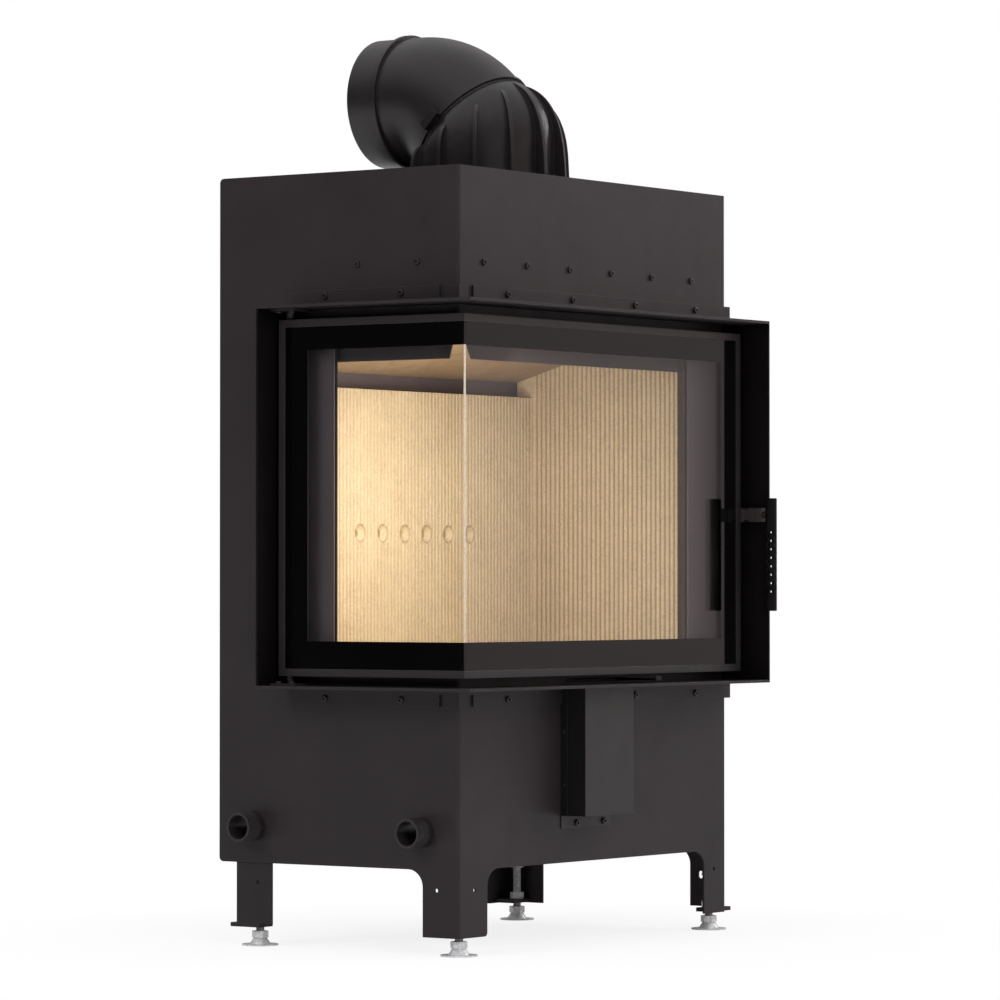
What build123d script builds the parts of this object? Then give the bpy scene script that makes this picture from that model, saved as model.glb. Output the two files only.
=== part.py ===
from build123d import *
import os
from math import cos, sin, tan, radians

os.makedirs("parts", exist_ok=True)

# Casing
WIDTH = 694.0
DEPTH = 433.0
CASING_TOP = 1121.5
CASING_BOTTOM = 121.5
SHEET = 3.0
BEND_RADIUS = 5.0
PANEL_CORNER = 7.0
BACK_INSET = 33.0

# Legs and feet
LEG_BOTTOM = 26.0
LEG_SIDE_WIDTH = 63.0
LEG_LEFT_WIDTH = 70.0
LEG_RIGHT_WIDTH = 60.0
LEG_FILLET = 25.0
LEG_CORNER = 6.0
ANGLE_WIDTH = 65.0
ANGLE_TOP = 145.0
LEG_HOLE_RADIUS = 3.0
LEG_HOLE_INSET = 39.0
LEG_HOLE_RIGHT_INSET = 33.0
LEG_HOLE_HEIGHT = 93.0
LEG_SLOT_WIDTH = 8.0
LEG_SLOT_LENGTH = 12.0
LEG_SLOT_INSET = 44.0
LEG_SLOT_HEIGHT = 81.0
FOOT_INSET_X = 23.0
FOOT_INSET_FRONT = 16.0
FOOT_INSET_BACK = 58.0
FOOT_BAR_THICKNESS = 6.0
FOOT_BAR_WIDTH = 25.5
LEFT_BAR_WIDTH = 33.0
FOOT_BAR_TAIL = 13.0
FOOT_BAR_REACH = 44.5
FOOT_DISC_RADIUS = 26.5
FOOT_DISC_THICKNESS = 2.0
FOOT_CONE_BASE = 15.5
FOOT_CONE_NECK = 9.5
FOOT_HEX_BOTTOM = 11.0
FOOT_HEX_TOP = 21.0
FOOT_HEX_FLATS = 21.0
FOOT_ROD_RADIUS = 6.0
FOOT_ROD_TOP = 86.0
FOOT_HEAD_RADIUS = 11.0
FOOT_HEAD_THICKNESS = 4.0
LOCK_NUT_FLATS = 19.0
LOCK_NUT_HEIGHT = 10.0

# Mask frame that stands out round the door
MASK_REACH = 75.0
MASK_ABOVE_DOOR = 19.4
MASK_BELOW_DOOR = 17.5
MASK_PLATE = 4.0
MASK_END_SHEET = 3.0
MASK_RETURN = 11.5
MASK_OVERHANG = 8.4
MASK_REAR = 306.0
FLANGE_HEIGHT = 24.1
FLANGE_SHEET = 3.0
FLANGE_NOTCH_STEP = 6.6
FLANGE_SIDE_NOTCH = (24.0, 31.6)
FLANGE_FRONT_NOTCH = (18.0, 32.0)

# Bolts
BOLT_RADIUS = 3.0
BOLT_HEAD_RADIUS = 5.0
BOLT_HEAD_HEIGHT = 3.3
FLANGE_BOLT_START = 115.3
FLANGE_BOLT_END = 88.8
FLANGE_BOLT_COUNT = 4
FLANGE_BOLT_EDGE = 9.2
FLANGE_SIDE_BOLTS = (99.3, 236.0)
UPPER_BOLT_START = 60.4
UPPER_BOLT_END = 97.1
UPPER_BOLT_COUNT = 6
UPPER_BOLT_HEIGHT = 986.0
UPPER_SIDE_BOLTS = (73.0, 180.0)

# Door opening in the body
OPENING_BOTTOM = 410.0
OPENING_TOP = 868.0
OPENING_RIGHT_INSET = 112.0
OPENING_REAR = 217.7
LEFT_WALL_SETBACK = 8.0

# Firebox
PLATE = 4.0
FIREBOX_FLOOR = 396.0
FIREBOX_TOP = 1000.0
FIREBOX_RIGHT_INSET = 66.0
FIREBOX_BACK = 338.0
LINING = 30.0
FLOOR_LINING = 25.0
LINING_FRONT = 22.0
LINING_DROP = 33.0
LEFT_LINING_SETBACK = 30.0
GROOVE_PITCH = 8.5
GROOVE_WIDTH = 5.0
GROOVE_DEPTH = 3.0
AIR_HOLE_START = 154.0
AIR_HOLE_PITCH = 55.0
AIR_HOLE_COUNT = 6
AIR_HOLE_HEIGHT = 602.0
AIR_HOLE_MOUTH = 15.0
AIR_HOLE_BORE = 6.0
AIR_CHANNEL_DEPTH = 14.0
AIR_CHANNEL_HEIGHT = 60.0
AIR_CHANNEL_SHEET = 2.0
BAFFLE_SLOPE = 16.5
BAFFLE_REAR_HEIGHT = 848.0
BAFFLE_FRONT = 110.0
BAFFLE_THICKNESS = 30.0
UPPER_BAFFLE_HEIGHT = 966.0
UPPER_BAFFLE_THICKNESS = 12.0
UPPER_BAFFLE_FRONT = 135.0
DEFLECTOR_BOTTOM = 847.0
DEFLECTOR_TOP = 896.0
DEFLECTOR_SHEET = 2.0
DEFLECTOR_SIDE_END = 22.0
DEFLECTOR_FRONT_END = 41.0
DEFLECTOR_SLANT = 12.0

# Door
DOOR_BELOW_OPENING = 15.5
DOOR_ABOVE_OPENING = 40.0
DOOR_OUTER = 36.7
DOOR_INNER = 3.0
DOOR_RIGHT_INSET = 14.3
DOOR_REAR = 294.4
DOOR_LIP = 11.0
DOOR_LIP_SHEET = 2.0
DOOR_WEB = 3.0
DOOR_FLANGE = 3.0
GLASS = 4.0
GLASS_GAP = 0.4
GLASS_EDGE = 8.0
RETAINER_WIDTH = 26.0
RETAINER_SHEET = 2.0
RETAINER_CORNER = 26.0
SEAL_WIDTH = 8.0
SEAL_MARGIN = 10.0
SEAL_GAP = 0.35

# Hinge
HINGE_INSET_X = 22.0
HINGE_INSET_Y = 284.5
HINGE_PIN_RADIUS = 4.0
HINGE_CLEARANCE = 0.05
HINGE_BUSH_RADIUS = 6.0
HINGE_BLOCK_HEIGHT = 20.0
HINGE_BUSH_PROUD = 3.0
HINGE_SHOULDER_RADIUS = 8.0
HINGE_PLATE = 3.0
HINGE_PLATE_X = (-56.0, -8.0)
HINGE_PLATE_Y = (252.0, 299.0)
HINGE_SCREW_RADIUS = 3.0
HINGE_SCREW_HEAD = 5.0
HINGE_SCREW_HEIGHT = 3.2
HINGE_SCREWS = ((-47.0, 262.0), (-47.0, 286.0))
REST_GAP = 0.3

# Handle and latch
HANDLE_INSET = 3.6
HANDLE_Z = 632.0
GRIP_OUT = 85.0
GRIP_RADIUS = 8.75
GRIP_WALL = 1.6
GRIP_TOP = 657.3
GRIP_BOTTOM = 486.0
GRIP_HOLE_RADIUS = 2.6
GRIP_HOLE_PITCH = 12.9
GRIP_HOLE_ROWS = 8
GRIP_HOLE_COLUMNS = 4
GRIP_HOLE_TOP = 605.5
CAP_THICKNESS = 3.0
SHAFT_RADIUS = 5.0
SHAFT_CLEARANCE = 0.06
HOUSING_HEIGHT = 21.0
HOUSING_HALF_WIDTH = 8.0
HOUSING_OUT = (12.0, 72.0)
HOUSING_STEP = (40.0, 49.0)
HOUSING_STEP_HEIGHT = 15.0
HOUSING_SLOT = 58.0
HOUSING_SLOT_WIDTH = 1.6
CAM_RADIUS = 8.3
CAM_OUT = (4.5, 11.5)
CAM_FLAT = 6.2
KEEPER_GAP = 0.9
KEEPER_SHEET = 3.0
KEEPER_FOOT = 22.0
KEEPER_TONGUE = 10.0
KEEPER_HALF_WIDTH = 7.5

# Air box under the mask frame, air lever and air chamber
AIR_BOX = (252.0, 377.0)
AIR_BOX_OUT = 44.0
AIR_BOX_BOTTOM = 190.0
AIR_BOX_SHEET = 2.0
AIR_BOX_SEAM = 12.6
AIR_BOX_SEAM_GAP = 0.3
AIR_BOX_FLANGE_BOTTOM = 171.0
AIR_BOX_FLANGE_SHEET = 1.5
AIR_BOX_BOLTS = (291.0, 360.5)
AIR_BOX_BOLT_HEIGHT = 178.6
AIR_BOX_RIVETS = (235.0, 312.0)
AIR_BOX_RIVET_RADIUS = 2.5
LEVER_WIDTH = 16.0
LEVER_THICKNESS = 3.0
LEVER_X = 415.0
LEVER_OUT = 64.0
LEVER_TRAVEL = 140.0
LEVER_BOTTOM = 385.0
LEVER_CLEARANCE = 1.0
LEVER_TAB = 6.0
DAMPER = (190.0, 56.0)
CHAMBER_INSETS = (90.0, 134.0)
CHAMBER_DEPTH = 150.0
CHAMBER_BOTTOM = 330.0
CHAMBER_SHEET = 2.0

# Side pipe stubs
STUB_RADIUS = 21.2
STUB_NECK = 20.6
STUB_BORE = 17.5
STUB_REACH = 37.0
STUB_INSIDE = 20.0
STUB_HEIGHT = 174.5
STUB_INSET = 64.0
STUB_COLLAR = 25.0
STUB_COLLAR_LENGTH = 4.0
THREAD_PITCH = 4.0
THREAD_DEPTH = 0.9
THREAD_TURNS = 6

# Flue
FLUE_Y = 206.0
FLUE_RADIUS = 97.3
FLUE_WALL = 2.5
FLUE_BEND = 106.0
FLUE_BEND_RISE = 146.0
FLUE_RIM = 390.0
FLUE_BEAD_RADIUS = 102.0
FLUE_BEAD = (335.0, 341.0)
DOME_RADIUS = 118.0
DOME_WALL = 5.0
DOME_SHOULDER_RISE = 116.0
DOME_NECK = 9.0
DOME_RINGS = 5
DOME_RISE = 150.0
DOME_LEAN = 12.0
DOME_BASE_RADIUS = 136.0
DOME_BASE = 6.0
DOME_BOLT_COUNT = 6
DOME_BOLT_RING = 126.5
RIB_COUNT = 14
RIB_START = 3.9
RIB_WIDTH = 6.0
RIB_HEIGHT = 12.0
RIB_LIFT = 4.0
RIB_CORE = 50.0
RIB_FADE = 0.95
RIB_STEPS = 5
SPIGOT_CLEARANCE = 0.08
SPIGOT_LENGTH = 8.0
SPIGOT_SEAT = 3.0
SWIVEL_GAP = 0.4
SWIVEL_SETBACK = 12.0
BAND_HEIGHT = 3.0
BAND_WIDTH = 5.0
LUG = (32.0, 12.0, 13.0)
LUG_CLEARANCE = 1.0

# Sizes that follow from others, counted from the casing's left and front faces and the floor
OPENING_RIGHT = WIDTH - OPENING_RIGHT_INSET
FIREBOX_RIGHT = WIDTH - FIREBOX_RIGHT_INSET
DOOR_RIGHT = WIDTH - DOOR_RIGHT_INSET
HANDLE_X = WIDTH - HANDLE_INSET
FLUE_X = WIDTH / 2
STUB_PLACES = (STUB_INSET, DEPTH - STUB_INSET)
FLANGE_BOLT_PITCH = (WIDTH - FLANGE_BOLT_START - FLANGE_BOLT_END) / (FLANGE_BOLT_COUNT - 1)
UPPER_BOLT_PITCH = (WIDTH - UPPER_BOLT_START - UPPER_BOLT_END) / (UPPER_BOLT_COUNT - 1)
DOOR_BOTTOM = OPENING_BOTTOM - DOOR_BELOW_OPENING
DOOR_TOP = OPENING_TOP + DOOR_ABOVE_OPENING
MASK_BOTTOM = DOOR_BOTTOM - MASK_BELOW_DOOR
MASK_TOP = DOOR_TOP + MASK_ABOVE_DOOR
LINING_TOP = BAFFLE_REAR_HEIGHT - LINING_DROP
FLUE_BEND_HEIGHT = FIREBOX_TOP + PLATE + FLUE_BEND_RISE
DOME_SHOULDER = FIREBOX_TOP + PLATE + DOME_SHOULDER_RISE
RIB_BOTTOM = FIREBOX_TOP + PLATE + DOME_BASE + RIB_LIFT

# Places in the frame, whose origin is under the middle of the whole insert
HANDLE_REACH = GRIP_OUT + GRIP_RADIUS
BAR_OVERHANG = FOOT_BAR_REACH - FOOT_INSET_X
LEFT = -(WIDTH + BAR_OVERHANG - MASK_REACH) / 2
RIGHT = LEFT + WIDTH
FRONT = -(DEPTH - HANDLE_REACH) / 2
REAR = FRONT + DEPTH
BACK = REAR - BACK_INSET
MASK_LEFT = LEFT - MASK_REACH
MASK_FRONT = FRONT - MASK_REACH
MASK_RIGHT = RIGHT + MASK_OVERHANG
MASK_BACK = FRONT + MASK_REAR
FLANGE_TOP = MASK_TOP + FLANGE_HEIGHT
FLANGE_BOTTOM = MASK_BOTTOM - FLANGE_HEIGHT
TOP_ROW = FLANGE_TOP - FLANGE_BOLT_EDGE
BOTTOM_ROW = FLANGE_BOTTOM + FLANGE_BOLT_EDGE
FOOT_BAR_BOTTOM = LEG_BOTTOM + 1.0
FOOT_BAR_TOP = FOOT_BAR_BOTTOM + FOOT_BAR_THICKNESS
FOOT_LEFT = LEFT + FOOT_INSET_X
FOOT_RIGHT = RIGHT - FOOT_INSET_X
FOOT_FRONT = FRONT + FOOT_INSET_FRONT
FOOT_REAR = REAR - FOOT_INSET_BACK
HINGE_X = LEFT - HINGE_INSET_X
HINGE_Y = FRONT + HINGE_INSET_Y
LEVER_AXIS_X = LEFT + HANDLE_X
BEND_CENTRE_Y = FRONT + FLUE_Y + FLUE_BEND
LINING_FACE = FIREBOX_RIGHT - PLATE - LINING
LINING_BACK = FIREBOX_BACK - PLATE - AIR_CHANNEL_DEPTH
FLOOR_TOP = FIREBOX_FLOOR + PLATE + FLOOR_LINING


def level(z):
    """Horizontal plane at height z."""
    return Plane.XY.offset(z)


def across(x):
    """Upright plane at x, drawn with y across and z up; it extrudes towards +X."""
    return Plane.YZ.offset(x)


def along(y):
    """Upright plane at y, drawn with x across and z up; it extrudes towards -Y."""
    return Plane.XZ.offset(-y)


def block(x, y, z, mode=Mode.ADD):
    """Box between its low and high faces on each axis."""
    with Locations(((x[0] + x[1]) / 2, (y[0] + y[1]) / 2, (z[0] + z[1]) / 2)):
        Box(x[1] - x[0], y[1] - y[0], z[1] - z[0], mode=mode)


def rect(u, v, mode=Mode.ADD):
    """Rectangle between its low and high edges in a sketch."""
    with Locations(((u[0] + u[1]) / 2, (v[0] + v[1]) / 2)):
        Rectangle(u[1] - u[0], v[1] - v[0], mode=mode)


def round_corner(sketch, u, v, radius):
    """Round the corner of a sketch that lies nearest to (u, v)."""
    fillet(sketch.vertices().sort_by_distance((u, v))[0], radius)


def save(piece, name):
    """Name a finished piece and write it."""
    piece.part.label = name
    export_step(piece.part, "parts/" + name + ".step")


# Where the bolts go: (x or y, z) on the front faces and on the left face
front_flange_bolts = [
    (LEFT + FLANGE_BOLT_START + FLANGE_BOLT_PITCH * k, z)
    for k in range(FLANGE_BOLT_COUNT)
    for z in (TOP_ROW, BOTTOM_ROW)
    if z == TOP_ROW or not AIR_BOX[0] < FLANGE_BOLT_START + FLANGE_BOLT_PITCH * k < AIR_BOX[1]
]
side_flange_bolts = [(FRONT + y, z) for y in FLANGE_SIDE_BOLTS for z in (TOP_ROW, BOTTOM_ROW)]
front_upper_bolts = [
    (LEFT + UPPER_BOLT_START + UPPER_BOLT_PITCH * k, UPPER_BOLT_HEIGHT) for k in range(UPPER_BOLT_COUNT)
]
side_upper_bolts = [(FRONT + y, UPPER_BOLT_HEIGHT) for y in UPPER_SIDE_BOLTS]


def side_panel_plan(edge, inward):
    """Plan of a side panel whose front edge is bent round the corner of the casing."""
    middle_x = edge + inward * BEND_RADIUS
    middle_y = FRONT + BEND_RADIUS
    inner = BEND_RADIUS - SHEET
    slant = cos(radians(45))
    with BuildLine() as outline:
        Line((edge, REAR), (edge, middle_y))
        ThreePointArc(
            (edge, middle_y),
            (middle_x - inward * BEND_RADIUS * slant, middle_y - BEND_RADIUS * slant),
            (middle_x, FRONT),
        )
        Line((middle_x, FRONT), (middle_x, FRONT + SHEET))
        ThreePointArc(
            (middle_x, FRONT + SHEET),
            (middle_x - inward * inner * slant, middle_y - inner * slant),
            (edge + inward * SHEET, middle_y),
        )
        Line((edge + inward * SHEET, middle_y), (edge + inward * SHEET, REAR))
        Line((edge + inward * SHEET, REAR), (edge, REAR))
    make_face(outline.edges())


def trim_side_panel(edge, inward, back_leg_lift):
    """Cut the foot space under a side panel, its round corners and the leg's hole."""
    start = edge - inward
    depth = inward * (BEND_RADIUS + 2)
    with BuildSketch(across(start)) as under:
        rect((FRONT + LEG_SIDE_WIDTH, REAR + 1), (LEG_BOTTOM - 1, CASING_BOTTOM))
        round_corner(under, FRONT + LEG_SIDE_WIDTH, CASING_BOTTOM, LEG_FILLET)
    extrude(under.sketch, amount=depth, mode=Mode.SUBTRACT)
    if back_leg_lift:
        block(
            (min(edge, edge + inward * SHEET) - 1, max(edge, edge + inward * SHEET) + 1),
            (FRONT + BEND_RADIUS, FRONT + LEG_SIDE_WIDTH + 1),
            (LEG_BOTTOM - 1, LEG_BOTTOM + back_leg_lift),
            mode=Mode.SUBTRACT,
        )


# Left side panel, with the notch for the corner door
with BuildPart() as left_side_panel:
    with BuildSketch(level(LEG_BOTTOM)):
        side_panel_plan(LEFT, 1)
    extrude(amount=CASING_TOP - LEG_BOTTOM)
    trim_side_panel(LEFT, 1, 0)
    block(
        (LEFT - 1, LEFT + BEND_RADIUS + 1),
        (FRONT - 1, FRONT + OPENING_REAR),
        (OPENING_BOTTOM, OPENING_TOP),
        mode=Mode.SUBTRACT,
    )
    rear_edges = left_side_panel.edges().filter_by(Axis.X).group_by(Axis.Y)[-1]
    fillet(rear_edges, PANEL_CORNER)
    with Locations(across(LEFT)):
        with Locations(*[(FRONT + y, STUB_HEIGHT) for y in STUB_PLACES]):
            Hole(STUB_NECK)
        with Locations(*side_flange_bolts, *side_upper_bolts):
            Hole(BOLT_RADIUS)
        with Locations((FRONT + LEG_HOLE_INSET, LEG_HOLE_HEIGHT)):
            Hole(LEG_HOLE_RADIUS)
save(left_side_panel, "left_side_panel")

# Right side panel
with BuildPart() as right_side_panel:
    with BuildSketch(level(LEG_BOTTOM)):
        side_panel_plan(RIGHT, -1)
    extrude(amount=CASING_TOP - LEG_BOTTOM)
    trim_side_panel(RIGHT, -1, FOOT_BAR_TOP - LEG_BOTTOM)
    rear_edges = right_side_panel.edges().filter_by(Axis.X).group_by(Axis.Y)[-1]
    fillet(rear_edges, PANEL_CORNER)
    with BuildSketch(across(RIGHT - SHEET - 1)):
        with Locations((FRONT + LEG_SLOT_INSET, LEG_SLOT_HEIGHT)):
            SlotOverall(LEG_SLOT_LENGTH, LEG_SLOT_WIDTH, rotation=90)
    extrude(amount=SHEET + 2, mode=Mode.SUBTRACT)
save(right_side_panel, "right_side_panel")

# Front panels between the bent edges of the side panels
with BuildPart() as front_upper_panel:
    block((LEFT + BEND_RADIUS, RIGHT - BEND_RADIUS), (FRONT, FRONT + SHEET), (OPENING_TOP, CASING_TOP))
    with Locations(along(FRONT)):
        with Locations(*[place for place in front_flange_bolts if place[1] == TOP_ROW], *front_upper_bolts):
            Hole(BOLT_RADIUS)
save(front_upper_panel, "front_upper_panel")

with BuildPart() as front_lower_panel:
    with BuildSketch(along(FRONT + SHEET)) as face:
        rect((LEFT + BEND_RADIUS, RIGHT - BEND_RADIUS), (LEG_BOTTOM, OPENING_BOTTOM))
        rect(
            (LEFT + LEG_LEFT_WIDTH, RIGHT - LEG_RIGHT_WIDTH),
            (LEG_BOTTOM - 1, CASING_BOTTOM),
            mode=Mode.SUBTRACT,
        )
        round_corner(face, LEFT + LEG_LEFT_WIDTH, CASING_BOTTOM, LEG_FILLET)
        round_corner(face, RIGHT - LEG_RIGHT_WIDTH, CASING_BOTTOM, LEG_FILLET)
        round_corner(face, LEFT + LEG_LEFT_WIDTH, LEG_BOTTOM, LEG_CORNER)
        rect(
            (OPENING_RIGHT + LEFT, RIGHT),
            (OPENING_BOTTOM, OPENING_TOP),
        )
        rect((RIGHT - BEND_RADIUS, RIGHT + 1), (OPENING_BOTTOM - 1, OPENING_TOP + 1), mode=Mode.SUBTRACT)
    extrude(amount=SHEET)
    lever_low = LEFT + LEVER_X - LEVER_TRAVEL - LEVER_WIDTH / 2 - LEVER_CLEARANCE
    lever_high = LEFT + LEVER_X + LEVER_WIDTH / 2 + LEVER_CLEARANCE
    block(
        (lever_low, lever_high),
        (FRONT - 1, FRONT + SHEET + 1),
        (LEVER_BOTTOM - LEVER_CLEARANCE, LEVER_BOTTOM + LEVER_THICKNESS + LEVER_CLEARANCE),
        mode=Mode.SUBTRACT,
    )
    with Locations(along(FRONT)):
        with Locations(
            *[place for place in front_flange_bolts if place[1] == BOTTOM_ROW],
            *[(LEFT + x, AIR_BOX_BOLT_HEIGHT) for x in AIR_BOX_BOLTS],
        ):
            Hole(BOLT_RADIUS)
        with Locations(
            (LEFT + LEG_HOLE_INSET, LEG_HOLE_HEIGHT),
            (RIGHT - LEG_HOLE_RIGHT_INSET, LEG_HOLE_HEIGHT),
        ):
            Hole(LEG_HOLE_RADIUS)
save(front_lower_panel, "front_lower_panel")

# Recessed back panel
with BuildPart() as back_panel:
    block((LEFT + SHEET, RIGHT - SHEET), (BACK - SHEET, BACK), (CASING_BOTTOM, CASING_TOP))
    back_edges = back_panel.edges().filter_by(Axis.Y)
    fillet(back_edges, PANEL_CORNER)
    # Notches for the webs of the rear legs
    for edge in (LEFT + SHEET, RIGHT - 2 * SHEET):
        block(
            (edge, edge + SHEET),
            (BACK - SHEET - 1, BACK + 1),
            (CASING_BOTTOM - 1, ANGLE_TOP),
            mode=Mode.SUBTRACT,
        )
save(back_panel, "back_panel")


def rear_leg(edge, inward, bottom):
    """Angle leg: one web against the side panel, one flange against the back panel."""
    low, high = sorted((edge, edge + inward * SHEET))
    block((low, high), (BACK + SHEET - ANGLE_WIDTH, BACK + SHEET), (bottom, ANGLE_TOP))
    low, high = sorted((edge, edge + inward * ANGLE_WIDTH))
    block((low, high), (BACK, BACK + SHEET), (bottom, ANGLE_TOP))


with BuildPart() as rear_left_leg:
    rear_leg(LEFT + SHEET, 1, FOOT_BAR_TOP)
    with Locations(across(LEFT + SHEET)):
        with Locations((BACK + SHEET - LEG_HOLE_INSET, LEG_HOLE_HEIGHT)):
            Hole(LEG_HOLE_RADIUS, depth=SHEET * 3)
save(rear_left_leg, "rear_left_leg")

with BuildPart() as rear_right_leg:
    rear_leg(RIGHT - SHEET, -1, LEG_BOTTOM)
    low_edges = rear_right_leg.edges().filter_by(Axis.Y).group_by(Axis.Z)[0]
    fillet(low_edges.sort_by(Axis.X)[0], LEG_CORNER)
save(rear_right_leg, "rear_right_leg")

# Flat bars that carry the feet
front_bar = (FRONT + BEND_RADIUS, FRONT + BEND_RADIUS + FOOT_BAR_WIDTH)
left_bar = (LEFT + SHEET, LEFT + SHEET + LEFT_BAR_WIDTH)
bar_height = (FOOT_BAR_BOTTOM, FOOT_BAR_TOP)
with BuildPart() as foot_bars:
    block(left_bar, (FRONT + BEND_RADIUS, FOOT_FRONT + FOOT_BAR_REACH), bar_height)
    block(left_bar, (FOOT_REAR - FOOT_BAR_TAIL, FOOT_REAR + FOOT_BAR_REACH - BEND_RADIUS), bar_height)
    block((FOOT_RIGHT - FOOT_BAR_TAIL, FOOT_RIGHT + FOOT_BAR_REACH), front_bar, bar_height)
    block(
        (FOOT_RIGHT - FOOT_BAR_WIDTH, RIGHT - SHEET * 2),
        (FOOT_REAR - FOOT_BAR_TAIL, BACK),
        bar_height,
    )
    with Locations(
        (FOOT_LEFT, FOOT_FRONT, FOOT_BAR_TOP),
        (FOOT_LEFT, FOOT_REAR, FOOT_BAR_TOP),
        (FOOT_RIGHT, FOOT_FRONT, FOOT_BAR_TOP),
        (FOOT_RIGHT, FOOT_REAR, FOOT_BAR_TOP),
    ):
        Hole(FOOT_ROD_RADIUS + HINGE_CLEARANCE, depth=FOOT_BAR_THICKNESS)
save(foot_bars, "foot_bars")

with BuildPart() as foot_lock_nuts:
    with BuildSketch(level(FOOT_BAR_TOP)):
        with Locations(
            (FOOT_LEFT, FOOT_FRONT),
            (FOOT_LEFT, FOOT_REAR),
            (FOOT_RIGHT, FOOT_FRONT),
            (FOOT_RIGHT, FOOT_REAR),
        ):
            RegularPolygon(LOCK_NUT_FLATS / 2, 6, major_radius=False)
            Circle(FOOT_ROD_RADIUS + HINGE_CLEARANCE, mode=Mode.SUBTRACT)
    extrude(amount=LOCK_NUT_HEIGHT)
save(foot_lock_nuts, "foot_lock_nuts")


def levelling_foot(x, y):
    """Disc, cone, hexagon and rod of one foot, turned about its own axis."""
    with BuildSketch(Plane.XZ.offset(-y)) as profile:
        with BuildLine():
            Polyline(
                (x, 0),
                (x + FOOT_DISC_RADIUS, 0),
                (x + FOOT_DISC_RADIUS, FOOT_DISC_THICKNESS),
                (x + FOOT_CONE_BASE, FOOT_DISC_THICKNESS),
                (x + FOOT_CONE_NECK, FOOT_HEX_BOTTOM),
                (x + FOOT_ROD_RADIUS, FOOT_HEX_BOTTOM),
                (x + FOOT_ROD_RADIUS, FOOT_ROD_TOP - FOOT_HEAD_THICKNESS),
                (x + FOOT_HEAD_RADIUS, FOOT_ROD_TOP - FOOT_HEAD_THICKNESS),
                (x + FOOT_HEAD_RADIUS, FOOT_ROD_TOP),
                (x, FOOT_ROD_TOP),
                close=True,
            )
        make_face()
    revolve(profile.sketch, axis=Axis((x, y, 0), (0, 0, 1)))
    with BuildSketch(level(FOOT_HEX_BOTTOM)) as hexagon:
        with Locations((x, y)):
            RegularPolygon(FOOT_HEX_FLATS / 2, 6, major_radius=False)
    extrude(hexagon.sketch, amount=FOOT_HEX_TOP - FOOT_HEX_BOTTOM)


for name, x, y in (
    ("front_left_foot", FOOT_LEFT, FOOT_FRONT),
    ("front_right_foot", FOOT_RIGHT, FOOT_FRONT),
    ("rear_left_foot", FOOT_LEFT, FOOT_REAR),
    ("rear_right_foot", FOOT_RIGHT, FOOT_REAR),
):
    with BuildPart() as foot:
        levelling_foot(x, y)
    save(foot, name)


def mask_plate(bottom):
    """L-shaped plate of the mask frame, seen from above."""
    with BuildSketch(level(bottom)) as plan:
        with BuildLine():
            Polyline(
                (MASK_LEFT, MASK_FRONT),
                (MASK_RIGHT, MASK_FRONT),
                (MASK_RIGHT, FRONT),
                (LEFT, FRONT),
                (LEFT, MASK_BACK),
                (MASK_LEFT, MASK_BACK),
                close=True,
            )
        make_face()
    extrude(plan.sketch, amount=MASK_PLATE)


def mask_flange(low, high, notch_low, notch_high):
    """Bolted flange of a mask plate, on the front and left faces of the casing."""
    block((LEFT - FLANGE_SHEET, MASK_RIGHT), (FRONT - FLANGE_SHEET, FRONT), (low, high))
    block((LEFT - FLANGE_SHEET, LEFT), (FRONT, MASK_BACK), (low, high))
    block(
        (LEFT + FLANGE_FRONT_NOTCH[0], LEFT + FLANGE_FRONT_NOTCH[1]),
        (FRONT - FLANGE_SHEET - 1, FRONT + 1),
        (notch_low, notch_high),
        mode=Mode.SUBTRACT,
    )
    block(
        (LEFT - FLANGE_SHEET - 1, LEFT + 1),
        (FRONT + FLANGE_SIDE_NOTCH[0], FRONT + FLANGE_SIDE_NOTCH[1]),
        (notch_low, notch_high),
        mode=Mode.SUBTRACT,
    )


def flange_holes(row):
    """Bolt holes of one flange row."""
    with Locations(along(FRONT - FLANGE_SHEET)):
        with Locations(*[place for place in front_flange_bolts if place[1] == row]):
            Hole(BOLT_RADIUS, depth=FLANGE_SHEET)
    with Locations(Plane(origin=(LEFT - FLANGE_SHEET, 0, 0), x_dir=(0, -1, 0), z_dir=(-1, 0, 0))):
        with Locations(*[(-place[0], place[1]) for place in side_flange_bolts if place[1] == row]):
            Hole(BOLT_RADIUS, depth=FLANGE_SHEET)


with BuildPart() as mask_top_plate:
    mask_plate(MASK_TOP - MASK_PLATE)
    mask_flange(MASK_TOP, FLANGE_TOP, MASK_TOP + FLANGE_NOTCH_STEP, FLANGE_TOP + 1)
    flange_holes(TOP_ROW)
save(mask_top_plate, "mask_top_plate")

with BuildPart() as mask_bottom_plate:
    mask_plate(MASK_BOTTOM)
    mask_flange(FLANGE_BOTTOM, MASK_BOTTOM, FLANGE_BOTTOM - 1, MASK_BOTTOM - FLANGE_NOTCH_STEP)
    flange_holes(BOTTOM_ROW)
    block(
        (LEFT + AIR_BOX[0], LEFT + AIR_BOX[1]),
        (FRONT - FLANGE_SHEET - 1, FRONT + 1),
        (FLANGE_BOTTOM - 1, MASK_BOTTOM),
        mode=Mode.SUBTRACT,
    )
save(mask_bottom_plate, "mask_bottom_plate")

end_height = (MASK_BOTTOM + MASK_PLATE, MASK_TOP - MASK_PLATE)
with BuildPart() as mask_right_end:
    block((MASK_RIGHT - MASK_END_SHEET, MASK_RIGHT), (MASK_FRONT, FRONT), end_height)
    # Return flange that laps the front of the casing
    block((RIGHT - MASK_RETURN, MASK_RIGHT - MASK_END_SHEET), (FRONT - FLANGE_SHEET, FRONT), end_height)
save(mask_right_end, "mask_right_end")

with BuildPart() as mask_rear_end:
    block((MASK_LEFT, LEFT), (MASK_BACK - MASK_END_SHEET, MASK_BACK), end_height)
save(mask_rear_end, "mask_rear_end")


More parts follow.
